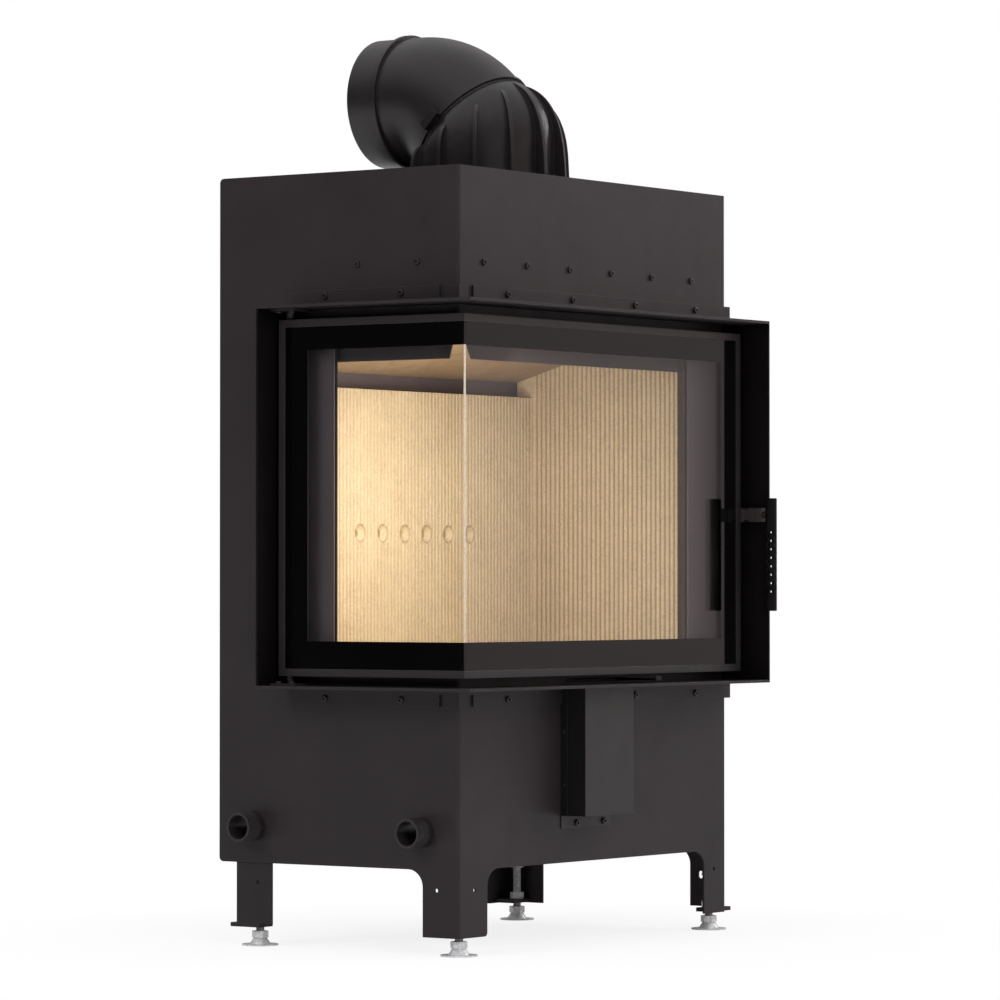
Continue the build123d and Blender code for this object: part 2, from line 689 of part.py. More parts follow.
def socket_bolts(
    plane, places, grip, head_radius=BOLT_HEAD_RADIUS, head=BOLT_HEAD_HEIGHT, shank=BOLT_RADIUS
):
    """Low-domed hexagon-socket bolts whose heads sit on the plane and whose shanks go behind it."""
    for place in places:
        seat = Plane(plane.from_local_coords((place[0], place[1], 0)), x_dir=plane.x_dir, z_dir=plane.z_dir)
        with BuildSketch(seat) as head_round:
            Circle(head_radius)
        extrude(head_round.sketch, amount=head)
        crown = faces(Select.LAST).sort_by_distance(seat.from_local_coords((0, 0, head)))[0]
        fillet(crown.edges(), head * 0.45)
        with BuildSketch(seat.offset(head)) as socket:
            RegularPolygon(head_radius * 0.45, 6, major_radius=False)
        extrude(socket.sketch, amount=-head * 0.6, mode=Mode.SUBTRACT)
        with BuildSketch(seat) as shank_round:
            Circle(shank)
        extrude(shank_round.sketch, amount=-grip)


left_face = Plane(origin=(LEFT, 0, 0), x_dir=(0, -1, 0), z_dir=(-1, 0, 0))
with BuildPart() as casing_bolts:
    socket_bolts(along(FRONT - FLANGE_SHEET), front_flange_bolts, FLANGE_SHEET + SHEET)
    socket_bolts(
        left_face.offset(FLANGE_SHEET),
        [(-y, z) for y, z in side_flange_bolts],
        FLANGE_SHEET + SHEET,
    )
    socket_bolts(along(FRONT), front_upper_bolts, SHEET)
    socket_bolts(left_face, [(-y, z) for y, z in side_upper_bolts], SHEET)
    # Bolts through the foot of the flue dome
    socket_bolts(
        level(FIREBOX_TOP + PLATE + DOME_BASE),
        [
            (
                LEFT + FLUE_X + DOME_BOLT_RING * cos(radians(360 / DOME_BOLT_COUNT * k)),
                FRONT + FLUE_Y + DOME_BOLT_RING * sin(radians(360 / DOME_BOLT_COUNT * k)),
            )
            for k in range(DOME_BOLT_COUNT)
        ],
        DOME_BASE,
    )
save(casing_bolts, "casing_bolts")

# Steel firebox: plates with the corner opening cut out of two of them
inside_left = LEFT + SHEET
inside_front = FRONT + SHEET
firebox_height = (FIREBOX_FLOOR + PLATE, FIREBOX_TOP)


def clear_bend(piece):
    """Cut the corners of a firebox plate that stand in the casing's front left bend."""
    upright = piece.edges().filter_by(Axis.Z)
    at_left = upright.filter_by_position(Axis.X, inside_left - 0.1, inside_left + 0.1)
    corner = at_left.filter_by_position(Axis.Y, inside_front - 0.1, inside_front + 0.1)
    chamfer(corner, BEND_RADIUS - SHEET + REST_GAP)


with BuildPart() as firebox_left_wall:
    block(
        (inside_left, inside_left + PLATE),
        (inside_front + PLATE, FRONT + FIREBOX_BACK - PLATE),
        firebox_height,
    )
    block(
        (inside_left - 1, inside_left + PLATE + 1),
        (inside_front - 1, FRONT + OPENING_REAR + LEFT_WALL_SETBACK),
        (OPENING_BOTTOM, OPENING_TOP),
        mode=Mode.SUBTRACT,
    )
save(firebox_left_wall, "firebox_left_wall")

with BuildPart() as firebox_front_wall:
    block((inside_left, LEFT + FIREBOX_RIGHT), (inside_front, inside_front + PLATE), firebox_height)
    block(
        (inside_left - 1, LEFT + OPENING_RIGHT),
        (inside_front - 1, inside_front + PLATE + 1),
        (OPENING_BOTTOM, OPENING_TOP),
        mode=Mode.SUBTRACT,
    )
    clear_bend(firebox_front_wall)
save(firebox_front_wall, "firebox_front_wall")

with BuildPart() as firebox_right_wall:
    block(
        (LEFT + FIREBOX_RIGHT - PLATE, LEFT + FIREBOX_RIGHT),
        (inside_front + PLATE, FRONT + FIREBOX_BACK - PLATE),
        firebox_height,
    )
save(firebox_right_wall, "firebox_right_wall")

with BuildPart() as firebox_back_wall:
    block(
        (inside_left, LEFT + FIREBOX_RIGHT),
        (FRONT + FIREBOX_BACK - PLATE, FRONT + FIREBOX_BACK),
        firebox_height,
    )
save(firebox_back_wall, "firebox_back_wall")

with BuildPart() as firebox_floor:
    block(
        (inside_left, LEFT + FIREBOX_RIGHT),
        (inside_front, FRONT + FIREBOX_BACK),
        (FIREBOX_FLOOR, FIREBOX_FLOOR + PLATE),
    )
    clear_bend(firebox_floor)
save(firebox_floor, "firebox_floor")

flue_axis = (LEFT + FLUE_X, FRONT + FLUE_Y)
with BuildPart() as firebox_top:
    block(
        (inside_left, LEFT + FIREBOX_RIGHT),
        (inside_front, FRONT + FIREBOX_BACK),
        (FIREBOX_TOP, FIREBOX_TOP + PLATE),
    )
    clear_bend(firebox_top)
    with Locations((flue_axis[0], flue_axis[1], FIREBOX_TOP + PLATE)):
        Hole(FLUE_RADIUS, depth=PLATE)
save(firebox_top, "firebox_top")


def grooves(start, end, face, into, cross):
    """Plan of the upright grooves in a lining face; cross swaps the axes for a side lining."""
    count = int((end - start) / GROOVE_PITCH)
    first = start + ((end - start) - (count - 1) * GROOVE_PITCH) / 2
    for k in range(count):
        middle = first + k * GROOVE_PITCH
        corners = (
            (middle - GROOVE_WIDTH / 2, face - into * 0.1),
            (middle, face + into * GROOVE_DEPTH),
            (middle + GROOVE_WIDTH / 2, face - into * 0.1),
        )
        if cross:
            corners = tuple((v, u) for u, v in corners)
        with BuildLine() as groove:
            Polyline(*corners, close=True)
        make_face(groove.edges())


# Fire-clay lining: grooved slabs, with six coned air holes in the back one
back_face = FRONT + LINING_BACK - LINING
with BuildPart() as back_lining:
    lining_left = inside_left + PLATE + LINING
    block(
        (lining_left, LEFT + LINING_FACE),
        (back_face, back_face + LINING),
        (FLOOR_TOP, LINING_TOP),
    )
    with BuildSketch(level(FLOOR_TOP)):
        grooves(lining_left, LEFT + LINING_FACE, back_face, 1, False)
    extrude(amount=LINING_TOP - FLOOR_TOP, mode=Mode.SUBTRACT)
    with Locations(along(back_face)):
        with Locations(
            *[(LEFT + AIR_HOLE_START + AIR_HOLE_PITCH * k, AIR_HOLE_HEIGHT) for k in range(AIR_HOLE_COUNT)]
        ):
            CounterSinkHole(AIR_HOLE_BORE, AIR_HOLE_MOUTH, depth=LINING)
save(back_lining, "back_lining")

slope = tan(radians(BAFFLE_SLOPE))


def baffle_underside(y):
    """Height of the sloping baffle's underside at depth y."""
    return BAFFLE_REAR_HEIGHT + (LINING_BACK - LINING - y) * slope


right_face = LEFT + LINING_FACE
with BuildPart() as right_lining:
    with BuildSketch(across(right_face)):
        with BuildLine():
            Polyline(
                (FRONT + LINING_FRONT, FLOOR_TOP),
                (back_face + LINING, FLOOR_TOP),
                (back_face + LINING, baffle_underside(LINING_BACK)),
                (FRONT + LINING_FRONT, baffle_underside(LINING_FRONT)),
                close=True,
            )
        make_face()
    extrude(amount=LINING)
    with BuildSketch(level(FLOOR_TOP)):
        grooves(FRONT + LINING_FRONT, back_face, right_face, 1, True)
    extrude(amount=FIREBOX_TOP - FLOOR_TOP, mode=Mode.SUBTRACT)
save(right_lining, "right_lining")

left_lining_front = OPENING_REAR + LEFT_LINING_SETBACK
with BuildPart() as left_lining:
    with BuildSketch(across(inside_left + PLATE)):
        with BuildLine():
            Polyline(
                (FRONT + left_lining_front, FLOOR_TOP),
                (back_face + LINING, FLOOR_TOP),
                (back_face + LINING, baffle_underside(LINING_BACK)),
                (FRONT + left_lining_front, baffle_underside(left_lining_front)),
                close=True,
            )
        make_face()
    extrude(amount=LINING)
save(left_lining, "left_lining")

with BuildPart() as floor_lining:
    block(
        (inside_left + PLATE, LEFT + FIREBOX_RIGHT - PLATE),
        (inside_front + PLATE, back_face + LINING),
        (FIREBOX_FLOOR + PLATE, FLOOR_TOP),
    )
save(floor_lining, "floor_lining")

# Air channel behind the six holes
channel_x = (
    LEFT + AIR_HOLE_START - AIR_HOLE_PITCH / 2,
    LEFT + AIR_HOLE_START + AIR_HOLE_PITCH * (AIR_HOLE_COUNT - 0.5),
)
channel_y = (back_face + LINING, FRONT + FIREBOX_BACK - PLATE)
channel_z = (AIR_HOLE_HEIGHT - AIR_CHANNEL_HEIGHT / 2, AIR_HOLE_HEIGHT + AIR_CHANNEL_HEIGHT / 2)
with BuildPart() as rear_air_channel:
    block(channel_x, channel_y, channel_z)
    block(
        (channel_x[0] + AIR_CHANNEL_SHEET, channel_x[1] - AIR_CHANNEL_SHEET),
        (channel_y[0] - 1, channel_y[1] - AIR_CHANNEL_SHEET),
        (channel_z[0] + AIR_CHANNEL_SHEET, channel_z[1] - AIR_CHANNEL_SHEET),
        mode=Mode.SUBTRACT,
    )
save(rear_air_channel, "rear_air_channel")

# Sloping lower baffle on the linings and flat upper baffle above it
with BuildPart() as lower_baffle:
    with BuildSketch(across(inside_left + PLATE + DEFLECTOR_SHEET)):
        with BuildLine():
            Polyline(
                (back_face + LINING, baffle_underside(LINING_BACK)),
                (FRONT + BAFFLE_FRONT, baffle_underside(BAFFLE_FRONT)),
                (
                    FRONT + BAFFLE_FRONT + BAFFLE_THICKNESS * sin(radians(BAFFLE_SLOPE)),
                    baffle_underside(BAFFLE_FRONT) + BAFFLE_THICKNESS * cos(radians(BAFFLE_SLOPE)),
                ),
                (
                    back_face + LINING,
                    baffle_underside(LINING_BACK) + BAFFLE_THICKNESS / cos(radians(BAFFLE_SLOPE)),
                ),
                close=True,
            )
        make_face()
    extrude(amount=FIREBOX_RIGHT - PLATE - SHEET - PLATE - DEFLECTOR_SHEET)
save(lower_baffle, "lower_baffle")

with BuildPart() as upper_baffle:
    block(
        (inside_left + PLATE, LEFT + FIREBOX_RIGHT - PLATE),
        (FRONT + UPPER_BAFFLE_FRONT, FRONT + FIREBOX_BACK - PLATE),
        (UPPER_BAFFLE_HEIGHT, UPPER_BAFFLE_HEIGHT + UPPER_BAFFLE_THICKNESS),
    )
save(upper_baffle, "upper_baffle")

# Air deflectors over the panes, cut off at a slant beside the corner
with BuildPart() as air_deflectors:
    with BuildSketch(across(inside_left + PLATE)) as side_sheet:
        with BuildLine():
            Polyline(
                (FRONT + OPENING_REAR + LEFT_WALL_SETBACK, DEFLECTOR_BOTTOM),
                (FRONT + DEFLECTOR_SIDE_END, DEFLECTOR_BOTTOM),
                (FRONT + DEFLECTOR_SIDE_END - DEFLECTOR_SLANT / 2, OPENING_TOP),
                (FRONT + DEFLECTOR_SIDE_END - DEFLECTOR_SLANT / 2, DEFLECTOR_TOP),
                (FRONT + OPENING_REAR + LEFT_WALL_SETBACK, DEFLECTOR_TOP),
                close=True,
            )
        make_face()
    extrude(side_sheet.sketch, amount=DEFLECTOR_SHEET)
    with BuildSketch(along(inside_front + PLATE + DEFLECTOR_SHEET)) as front_sheet:
        with BuildLine():
            Polyline(
                (LEFT + OPENING_RIGHT, DEFLECTOR_BOTTOM),
                (LEFT + DEFLECTOR_FRONT_END, DEFLECTOR_BOTTOM),
                (LEFT + DEFLECTOR_FRONT_END - DEFLECTOR_SLANT, OPENING_TOP),
                (LEFT + DEFLECTOR_FRONT_END - DEFLECTOR_SLANT, DEFLECTOR_TOP),
                (LEFT + OPENING_RIGHT, DEFLECTOR_TOP),
                close=True,
            )
        make_face()
    extrude(front_sheet.sketch, amount=DEFLECTOR_SHEET)
save(air_deflectors, "air_deflectors")

# Door frame: lip, web and inner flange in one welded piece, open at the glass corner
door_left = LEFT - DOOR_OUTER
door_front = FRONT - DOOR_OUTER
door_right = LEFT + DOOR_RIGHT
door_rear = FRONT + DOOR_REAR
glass_left = door_left + DOOR_LIP_SHEET
glass_front = door_front + DOOR_LIP_SHEET
flange_front = FRONT - DOOR_INNER - DOOR_FLANGE
flange_left = LEFT - DOOR_INNER - DOOR_FLANGE


def door_plan(outer_left, outer_front, inner_left, inner_front):
    """L-shaped plan of a layer of the door, between two planes parallel to the panes."""
    with BuildLine() as outline:
        Polyline(
            (outer_left, outer_front),
            (door_right, outer_front),
            (door_right, inner_front),
            (inner_left, inner_front),
            (inner_left, door_rear),
            (outer_left, door_rear),
            close=True,
        )
    make_face(outline.edges())


with BuildPart() as door_frame:
    with BuildSketch(level(DOOR_BOTTOM)):
        door_plan(door_left, door_front, LEFT - DOOR_INNER, FRONT - DOOR_INNER)
    extrude(amount=DOOR_TOP - DOOR_BOTTOM)
    # Space for the panes and their retainers behind the lip
    with BuildSketch(level(DOOR_BOTTOM + DOOR_WEB)):
        with BuildLine():
            Polyline(
                (glass_left, glass_front),
                (door_right - DOOR_WEB, glass_front),
                (door_right - DOOR_WEB, flange_front),
                (flange_left, flange_front),
                (flange_left, door_rear - DOOR_WEB),
                (glass_left, door_rear - DOOR_WEB),
                close=True,
            )
        make_face()
    extrude(amount=DOOR_TOP - DOOR_BOTTOM - 2 * DOOR_WEB, mode=Mode.SUBTRACT)
    # Window through the lip
    block(
        (door_left - 1, glass_left + 1),
        (door_front - 1, door_rear - DOOR_LIP),
        (DOOR_BOTTOM + DOOR_LIP, DOOR_TOP - DOOR_LIP),
        mode=Mode.SUBTRACT,
    )
    block(
        (door_left - 1, door_right - DOOR_LIP),
        (door_front - 1, glass_front + 1),
        (DOOR_BOTTOM + DOOR_LIP, DOOR_TOP - DOOR_LIP),
        mode=Mode.SUBTRACT,
    )
    # Window through the inner flange
    block(
        (flange_left - 1, LEFT + SHEET),
        (flange_front - 1, FRONT + OPENING_REAR),
        (OPENING_BOTTOM, OPENING_TOP),
        mode=Mode.SUBTRACT,
    )
    block(
        (flange_left - 1, LEFT + OPENING_RIGHT),
        (flange_front - 1, FRONT + SHEET),
        (OPENING_BOTTOM, OPENING_TOP),
        mode=Mode.SUBTRACT,
    )
    # Way through the webs for the hinge bushes
    with Locations((HINGE_X, HINGE_Y, DOOR_TOP)):
        Hole(HINGE_BUSH_RADIUS, depth=DOOR_WEB)
    with Locations((HINGE_X, HINGE_Y, DOOR_BOTTOM + DOOR_WEB)):
        Hole(HINGE_BUSH_RADIUS, depth=DOOR_WEB)
save(door_frame, "door_frame")

pane_height = (DOOR_BOTTOM + DOOR_WEB, DOOR_TOP - DOOR_WEB)
side_pane_rear = door_rear - DOOR_WEB - GLASS_EDGE / 2
front_pane_right = door_right - DOOR_WEB - GLASS_EDGE / 2
with BuildPart() as side_glass:
    block(
        (glass_left, glass_left + GLASS),
        (glass_front, side_pane_rear),
        pane_height,
    )
save(side_glass, "side_glass")

with BuildPart() as front_glass:
    block(
        (glass_left + GLASS + GLASS_GAP, front_pane_right),
        (glass_front, glass_front + GLASS),
        pane_height,
    )
save(front_glass, "front_glass")

# Sheet frames that hold the panes against the lip, open towards the glass corner
side_retainer_x = (glass_left + GLASS, glass_left + GLASS + RETAINER_SHEET)
front_retainer_y = (glass_front + GLASS, glass_front + GLASS + RETAINER_SHEET)
retainer_top = DOOR_TOP - DOOR_WEB - RETAINER_WIDTH
retainer_bottom = DOOR_BOTTOM + DOOR_WEB + RETAINER_WIDTH
retainer_rear = HINGE_Y - HINGE_BUSH_RADIUS * 2
retainer_right = door_right - DOOR_WEB
with BuildPart() as side_glass_retainer:
    block(side_retainer_x, (glass_front + RETAINER_CORNER, retainer_rear), pane_height)
    block(
        (side_retainer_x[0] - 1, side_retainer_x[1] + 1),
        (FRONT - RETAINER_CORNER, retainer_rear - RETAINER_WIDTH),
        (retainer_bottom, retainer_top),
        mode=Mode.SUBTRACT,
    )
save(side_glass_retainer, "side_glass_retainer")

with BuildPart() as front_glass_retainer:
    block((glass_left + RETAINER_CORNER, retainer_right), front_retainer_y, pane_height)
    block(
        (LEFT - RETAINER_CORNER, retainer_right - RETAINER_WIDTH),
        (front_retainer_y[0] - 1, front_retainer_y[1] + 1),
        (retainer_bottom, retainer_top),
        mode=Mode.SUBTRACT,
    )
save(front_glass_retainer, "front_glass_retainer")

# Rope seal on the inner flange
seal_top = OPENING_TOP + SEAL_MARGIN
seal_bottom = DOOR_BOTTOM + (OPENING_BOTTOM - DOOR_BOTTOM - SEAL_WIDTH) / 2
seal_left = (LEFT - DOOR_INNER, LEFT - SEAL_GAP)
seal_front = (FRONT - DOOR_INNER, FRONT - SEAL_GAP)
seal_right = LEFT + OPENING_RIGHT + SEAL_MARGIN
seal_rear = FRONT + OPENING_REAR + SEAL_MARGIN
with BuildPart() as door_seal:
    for z in ((seal_bottom, seal_bottom + SEAL_WIDTH), (seal_top, seal_top + SEAL_WIDTH)):
        block((seal_left[0], seal_right + SEAL_WIDTH), seal_front, z)
        block(seal_left, (seal_front[0], seal_rear + SEAL_WIDTH), z)
    block((seal_right, seal_right + SEAL_WIDTH), seal_front, (seal_bottom, seal_top + SEAL_WIDTH))
    block(seal_left, (seal_rear, seal_rear + SEAL_WIDTH), (seal_bottom, seal_top + SEAL_WIDTH))
save(door_seal, "door_seal")

# Hinge: blocks and bushes in the door, plates, pins and screws on the mask frame
block_x = (glass_left + GLASS, flange_left)
block_y = (retainer_rear, door_rear - DOOR_WEB)
with BuildPart() as hinge_blocks:
    block(block_x, block_y, (DOOR_TOP - DOOR_WEB - HINGE_BLOCK_HEIGHT, DOOR_TOP - DOOR_WEB))
    block(block_x, block_y, (DOOR_BOTTOM + DOOR_WEB, DOOR_BOTTOM + DOOR_WEB + HINGE_BLOCK_HEIGHT))
    with Locations((HINGE_X, HINGE_Y, DOOR_TOP)):
        Hole(HINGE_BUSH_RADIUS, depth=DOOR_TOP - DOOR_BOTTOM)
save(hinge_blocks, "hinge_blocks")

bush_length = HINGE_BLOCK_HEIGHT + DOOR_WEB + HINGE_BUSH_PROUD
with BuildPart() as hinge_bushes:
    with BuildSketch(
        level(DOOR_TOP + HINGE_BUSH_PROUD - bush_length), level(DOOR_BOTTOM - HINGE_BUSH_PROUD)
    ):
        with Locations((HINGE_X, HINGE_Y)):
            Circle(HINGE_BUSH_RADIUS)
            Circle(HINGE_PIN_RADIUS + HINGE_CLEARANCE, mode=Mode.SUBTRACT)
    extrude(amount=bush_length)
save(hinge_bushes, "hinge_bushes")

mask_under = MASK_TOP - MASK_PLATE
mask_over = MASK_BOTTOM + MASK_PLATE
hinge_plate_x = (LEFT + HINGE_PLATE_X[0], LEFT + HINGE_PLATE_X[1])
hinge_plate_y = (FRONT + HINGE_PLATE_Y[0], FRONT + HINGE_PLATE_Y[1])
hinge_screw_places = [(LEFT + x, FRONT + y) for x, y in HINGE_SCREWS]
with BuildPart() as hinge_plates:
    for low in (mask_under - HINGE_PLATE, mask_over):
        block(hinge_plate_x, hinge_plate_y, (low, low + HINGE_PLATE))
    fillet(hinge_plates.edges().filter_by(Axis.Z), PANEL_CORNER)
    with Locations((HINGE_X, HINGE_Y, mask_under)):
        Hole(HINGE_PIN_RADIUS, depth=mask_under - mask_over)
    with Locations(*[(x, y, mask_under) for x, y in hinge_screw_places]):
        Hole(HINGE_SCREW_RADIUS, depth=mask_under - mask_over)
save(hinge_plates, "hinge_plates")

shoulder_up = (DOOR_TOP + HINGE_BUSH_PROUD + REST_GAP * 2, mask_under - HINGE_PLATE)
shoulder_down = (mask_over + HINGE_PLATE, DOOR_BOTTOM - HINGE_BUSH_PROUD - REST_GAP)
with BuildPart() as hinge_pins:
    with BuildSketch(level(DOOR_TOP + HINGE_BUSH_PROUD - bush_length)):
        with Locations((HINGE_X, HINGE_Y)):
            Circle(HINGE_PIN_RADIUS)
    extrude(amount=mask_under - (DOOR_TOP + HINGE_BUSH_PROUD - bush_length))
    with BuildSketch(level(mask_over)):
        with Locations((HINGE_X, HINGE_Y)):
            Circle(HINGE_PIN_RADIUS)
    extrude(amount=DOOR_BOTTOM - HINGE_BUSH_PROUD + bush_length - mask_over)
    for low, high in (shoulder_up, shoulder_down):
        with BuildSketch(level(low)):
            with Locations((HINGE_X, HINGE_Y)):
                Circle(HINGE_SHOULDER_RADIUS)
        extrude(amount=high - low)
save(hinge_pins, "hinge_pins")

with BuildPart() as hinge_screws:
    socket_bolts(
        Plane.XY.offset(mask_over + HINGE_PLATE),
        hinge_screw_places,
        HINGE_PLATE,
        HINGE_SCREW_HEAD,
        HINGE_SCREW_HEIGHT,
        HINGE_SCREW_RADIUS,
    )
    socket_bolts(
        Plane(origin=(0, 0, mask_under - HINGE_PLATE), x_dir=(1, 0, 0), z_dir=(0, 0, -1)),
        [(x, -y) for x, y in hinge_screw_places],
        HINGE_PLATE,
        HINGE_SCREW_HEAD,
        HINGE_SCREW_HEIGHT,
        HINGE_SCREW_RADIUS,
    )
save(hinge_screws, "hinge_screws")

# Handle housing on the edge of the door, with the bore of the lever shaft
shaft_y = FRONT - GRIP_OUT
housing_x = (door_right, LEVER_AXIS_X + HOUSING_HALF_WIDTH)
with BuildPart() as handle_housing:
    block(
        housing_x,
        (FRONT - HOUSING_STEP[0], FRONT - HOUSING_OUT[0]),
        (HANDLE_Z - HOUSING_HEIGHT / 2, HANDLE_Z + HOUSING_HEIGHT / 2),
    )
    block(
        (LEVER_AXIS_X - HOUSING_HALF_WIDTH, housing_x[1]),
        (FRONT - HOUSING_STEP[1], FRONT - HOUSING_STEP[0]),
        (HANDLE_Z - HOUSING_STEP_HEIGHT / 2, HANDLE_Z + HOUSING_STEP_HEIGHT / 2),
    )
    block(
        (LEVER_AXIS_X - HOUSING_HALF_WIDTH, housing_x[1]),
        (FRONT - HOUSING_OUT[1], FRONT - HOUSING_STEP[1]),
        (HANDLE_Z - HOUSING_HEIGHT / 2, HANDLE_Z + HOUSING_HEIGHT / 2),
    )
    block(
        (LEVER_AXIS_X - HOUSING_HALF_WIDTH - 1, LEVER_AXIS_X - HOUSING_HALF_WIDTH + HOUSING_SLOT_WIDTH),
        (FRONT - HOUSING_SLOT - HOUSING_SLOT_WIDTH, FRONT - HOUSING_SLOT),
        (HANDLE_Z - HOUSING_HEIGHT / 2 - 1, HANDLE_Z + HOUSING_HEIGHT / 2 + 1),
        mode=Mode.SUBTRACT,
    )
    with Locations(along(FRONT - HOUSING_OUT[1])):
        with Locations((LEVER_AXIS_X, HANDLE_Z)):
            Hole(SHAFT_RADIUS + SHAFT_CLEARANCE)
save(handle_housing, "handle_housing")

with BuildPart() as lever_shaft:
    with BuildSketch(along(FRONT - CAM_OUT[0])):
        with Locations((LEVER_AXIS_X, HANDLE_Z)):
            Circle(SHAFT_RADIUS)
    extrude(amount=GRIP_OUT - GRIP_RADIUS + GRIP_WALL - CAM_OUT[0])
save(lever_shaft, "lever_shaft")

with BuildPart() as latch_cam:
    with BuildSketch(along(FRONT - CAM_OUT[0])) as cam_face:
        with Locations((LEVER_AXIS_X, HANDLE_Z)):
            Circle(CAM_RADIUS)
            Circle(SHAFT_RADIUS, mode=Mode.SUBTRACT)
        rect(
            (LEVER_AXIS_X - CAM_RADIUS, LEVER_AXIS_X + CAM_RADIUS),
            (HANDLE_Z - CAM_RADIUS - 1, HANDLE_Z - CAM_FLAT),
            mode=Mode.SUBTRACT,
        )
    extrude(amount=CAM_OUT[1] - CAM_OUT[0])
save(latch_cam, "latch_cam")

# Keeper on the return flange of the mask frame, over the latch cam
keeper_bottom = HANDLE_Z + CAM_RADIUS + KEEPER_GAP
keeper_back = FRONT - FLANGE_SHEET
with BuildPart() as latch_keeper:
    block(
        (LEVER_AXIS_X - KEEPER_HALF_WIDTH, RIGHT),
        (keeper_back - KEEPER_SHEET, keeper_back),
        (keeper_bottom, keeper_bottom + KEEPER_FOOT),
    )
    block(
        (LEVER_AXIS_X - KEEPER_HALF_WIDTH, RIGHT),
        (FRONT - KEEPER_TONGUE, keeper_back - KEEPER_SHEET),
        (keeper_bottom, keeper_bottom + KEEPER_SHEET),
    )
save(latch_keeper, "latch_keeper")

with BuildPart() as handle_grip:
    with BuildSketch(level(GRIP_BOTTOM + CAP_THICKNESS)):
        with Locations((LEVER_AXIS_X, shaft_y)):
            Circle(GRIP_RADIUS)
            Circle(GRIP_RADIUS - GRIP_WALL, mode=Mode.SUBTRACT)
    extrude(amount=GRIP_TOP - GRIP_BOTTOM - 2 * CAP_THICKNESS)
    for column in range(GRIP_HOLE_COLUMNS):
        for stagger in (0, 1):
            turn = 45 + (column + stagger / 2) * 360 / GRIP_HOLE_COLUMNS
            outward = Plane(
                origin=(LEVER_AXIS_X, shaft_y, GRIP_HOLE_TOP - stagger * GRIP_HOLE_PITCH / 2),
                x_dir=(0, 0, -1),
                z_dir=(cos(radians(turn)), sin(radians(turn)), 0),
            )
            with BuildSketch(outward):
                with Locations(*[(row * GRIP_HOLE_PITCH, 0) for row in range(GRIP_HOLE_ROWS - stagger)]):
                    Circle(GRIP_HOLE_RADIUS)
            extrude(amount=GRIP_RADIUS + 1, mode=Mode.SUBTRACT)
    with BuildSketch(along(shaft_y)):
        with Locations((LEVER_AXIS_X, HANDLE_Z)):
            Circle(SHAFT_RADIUS)
    extrude(amount=-GRIP_RADIUS - 1, mode=Mode.SUBTRACT)
save(handle_grip, "handle_grip")

with BuildPart() as grip_caps:
    with BuildSketch(level(GRIP_BOTTOM), level(GRIP_TOP - CAP_THICKNESS)):
        with Locations((LEVER_AXIS_X, shaft_y)):
            Circle(GRIP_RADIUS)
    extrude(amount=CAP_THICKNESS)
    chamfer(grip_caps.faces().sort_by(Axis.Z)[-1].edges(), GRIP_WALL / 2)
    chamfer(grip_caps.faces().sort_by(Axis.Z)[0].edges(), GRIP_WALL / 2)
save(grip_caps, "grip_caps")

# Air box on the front panel, under the mask frame
box_x = (LEFT + AIR_BOX[0], LEFT + AIR_BOX[1])
box_height = (AIR_BOX_BOTTOM, MASK_BOTTOM)
seam_y = FRONT - AIR_BOX_SEAM
with BuildPart() as air_box_base:
    block(box_x, (seam_y, FRONT), box_height)
    block(
        (box_x[0] + AIR_BOX_SHEET, box_x[1] - AIR_BOX_SHEET),
        (seam_y - 1, FRONT + 1),
        (AIR_BOX_BOTTOM + AIR_BOX_SHEET, MASK_BOTTOM + 1),
        mode=Mode.SUBTRACT,
    )
    block(box_x, (FRONT - AIR_BOX_FLANGE_SHEET, FRONT), (AIR_BOX_FLANGE_BOTTOM, AIR_BOX_BOTTOM))
    with Locations(along(FRONT - AIR_BOX_FLANGE_SHEET)):
        with Locations(*[(LEFT + x, AIR_BOX_BOLT_HEIGHT) for x in AIR_BOX_BOLTS]):
            Hole(BOLT_RADIUS, depth=AIR_BOX_FLANGE_SHEET)
save(air_box_base, "air_box_base")

with BuildPart() as air_box_cover:
    block(box_x, (FRONT - AIR_BOX_OUT, seam_y), box_height)
    block(
        (box_x[0] + AIR_BOX_SHEET, box_x[1] - AIR_BOX_SHEET),
        (FRONT - AIR_BOX_OUT + AIR_BOX_SHEET, seam_y + 1),
        (AIR_BOX_BOTTOM + AIR_BOX_SHEET, MASK_BOTTOM + 1),
        mode=Mode.SUBTRACT,
    )
    # Fine groove along the seam with the base
    for x in (box_x[0], box_x[1] - AIR_BOX_SEAM_GAP):
        block(
            (x, x + AIR_BOX_SEAM_GAP),
            (seam_y - AIR_BOX_SHEET / 2, seam_y + 1),
            (AIR_BOX_BOTTOM - 1, MASK_BOTTOM + 1),
            mode=Mode.SUBTRACT,
        )
save(air_box_cover, "air_box_cover")

with BuildPart() as air_box_fasteners:
    socket_bolts(
        along(FRONT - AIR_BOX_FLANGE_SHEET),
        [(LEFT + x, AIR_BOX_BOLT_HEIGHT) for x in AIR_BOX_BOLTS],
        AIR_BOX_FLANGE_SHEET + SHEET,
    )
    for x, way in ((box_x[0], -1), (box_x[1], 1)):
        with BuildSketch(Plane(origin=(x, 0, 0), x_dir=(0, way, 0), z_dir=(way, 0, 0))):
            with Locations(*[(way * (FRONT - AIR_BOX_SEAM / 2), z) for z in AIR_BOX_RIVETS]):
                Circle(AIR_BOX_RIVET_RADIUS)
        extrude(amount=1, taper=35)
save(air_box_fasteners, "air_box_fasteners")

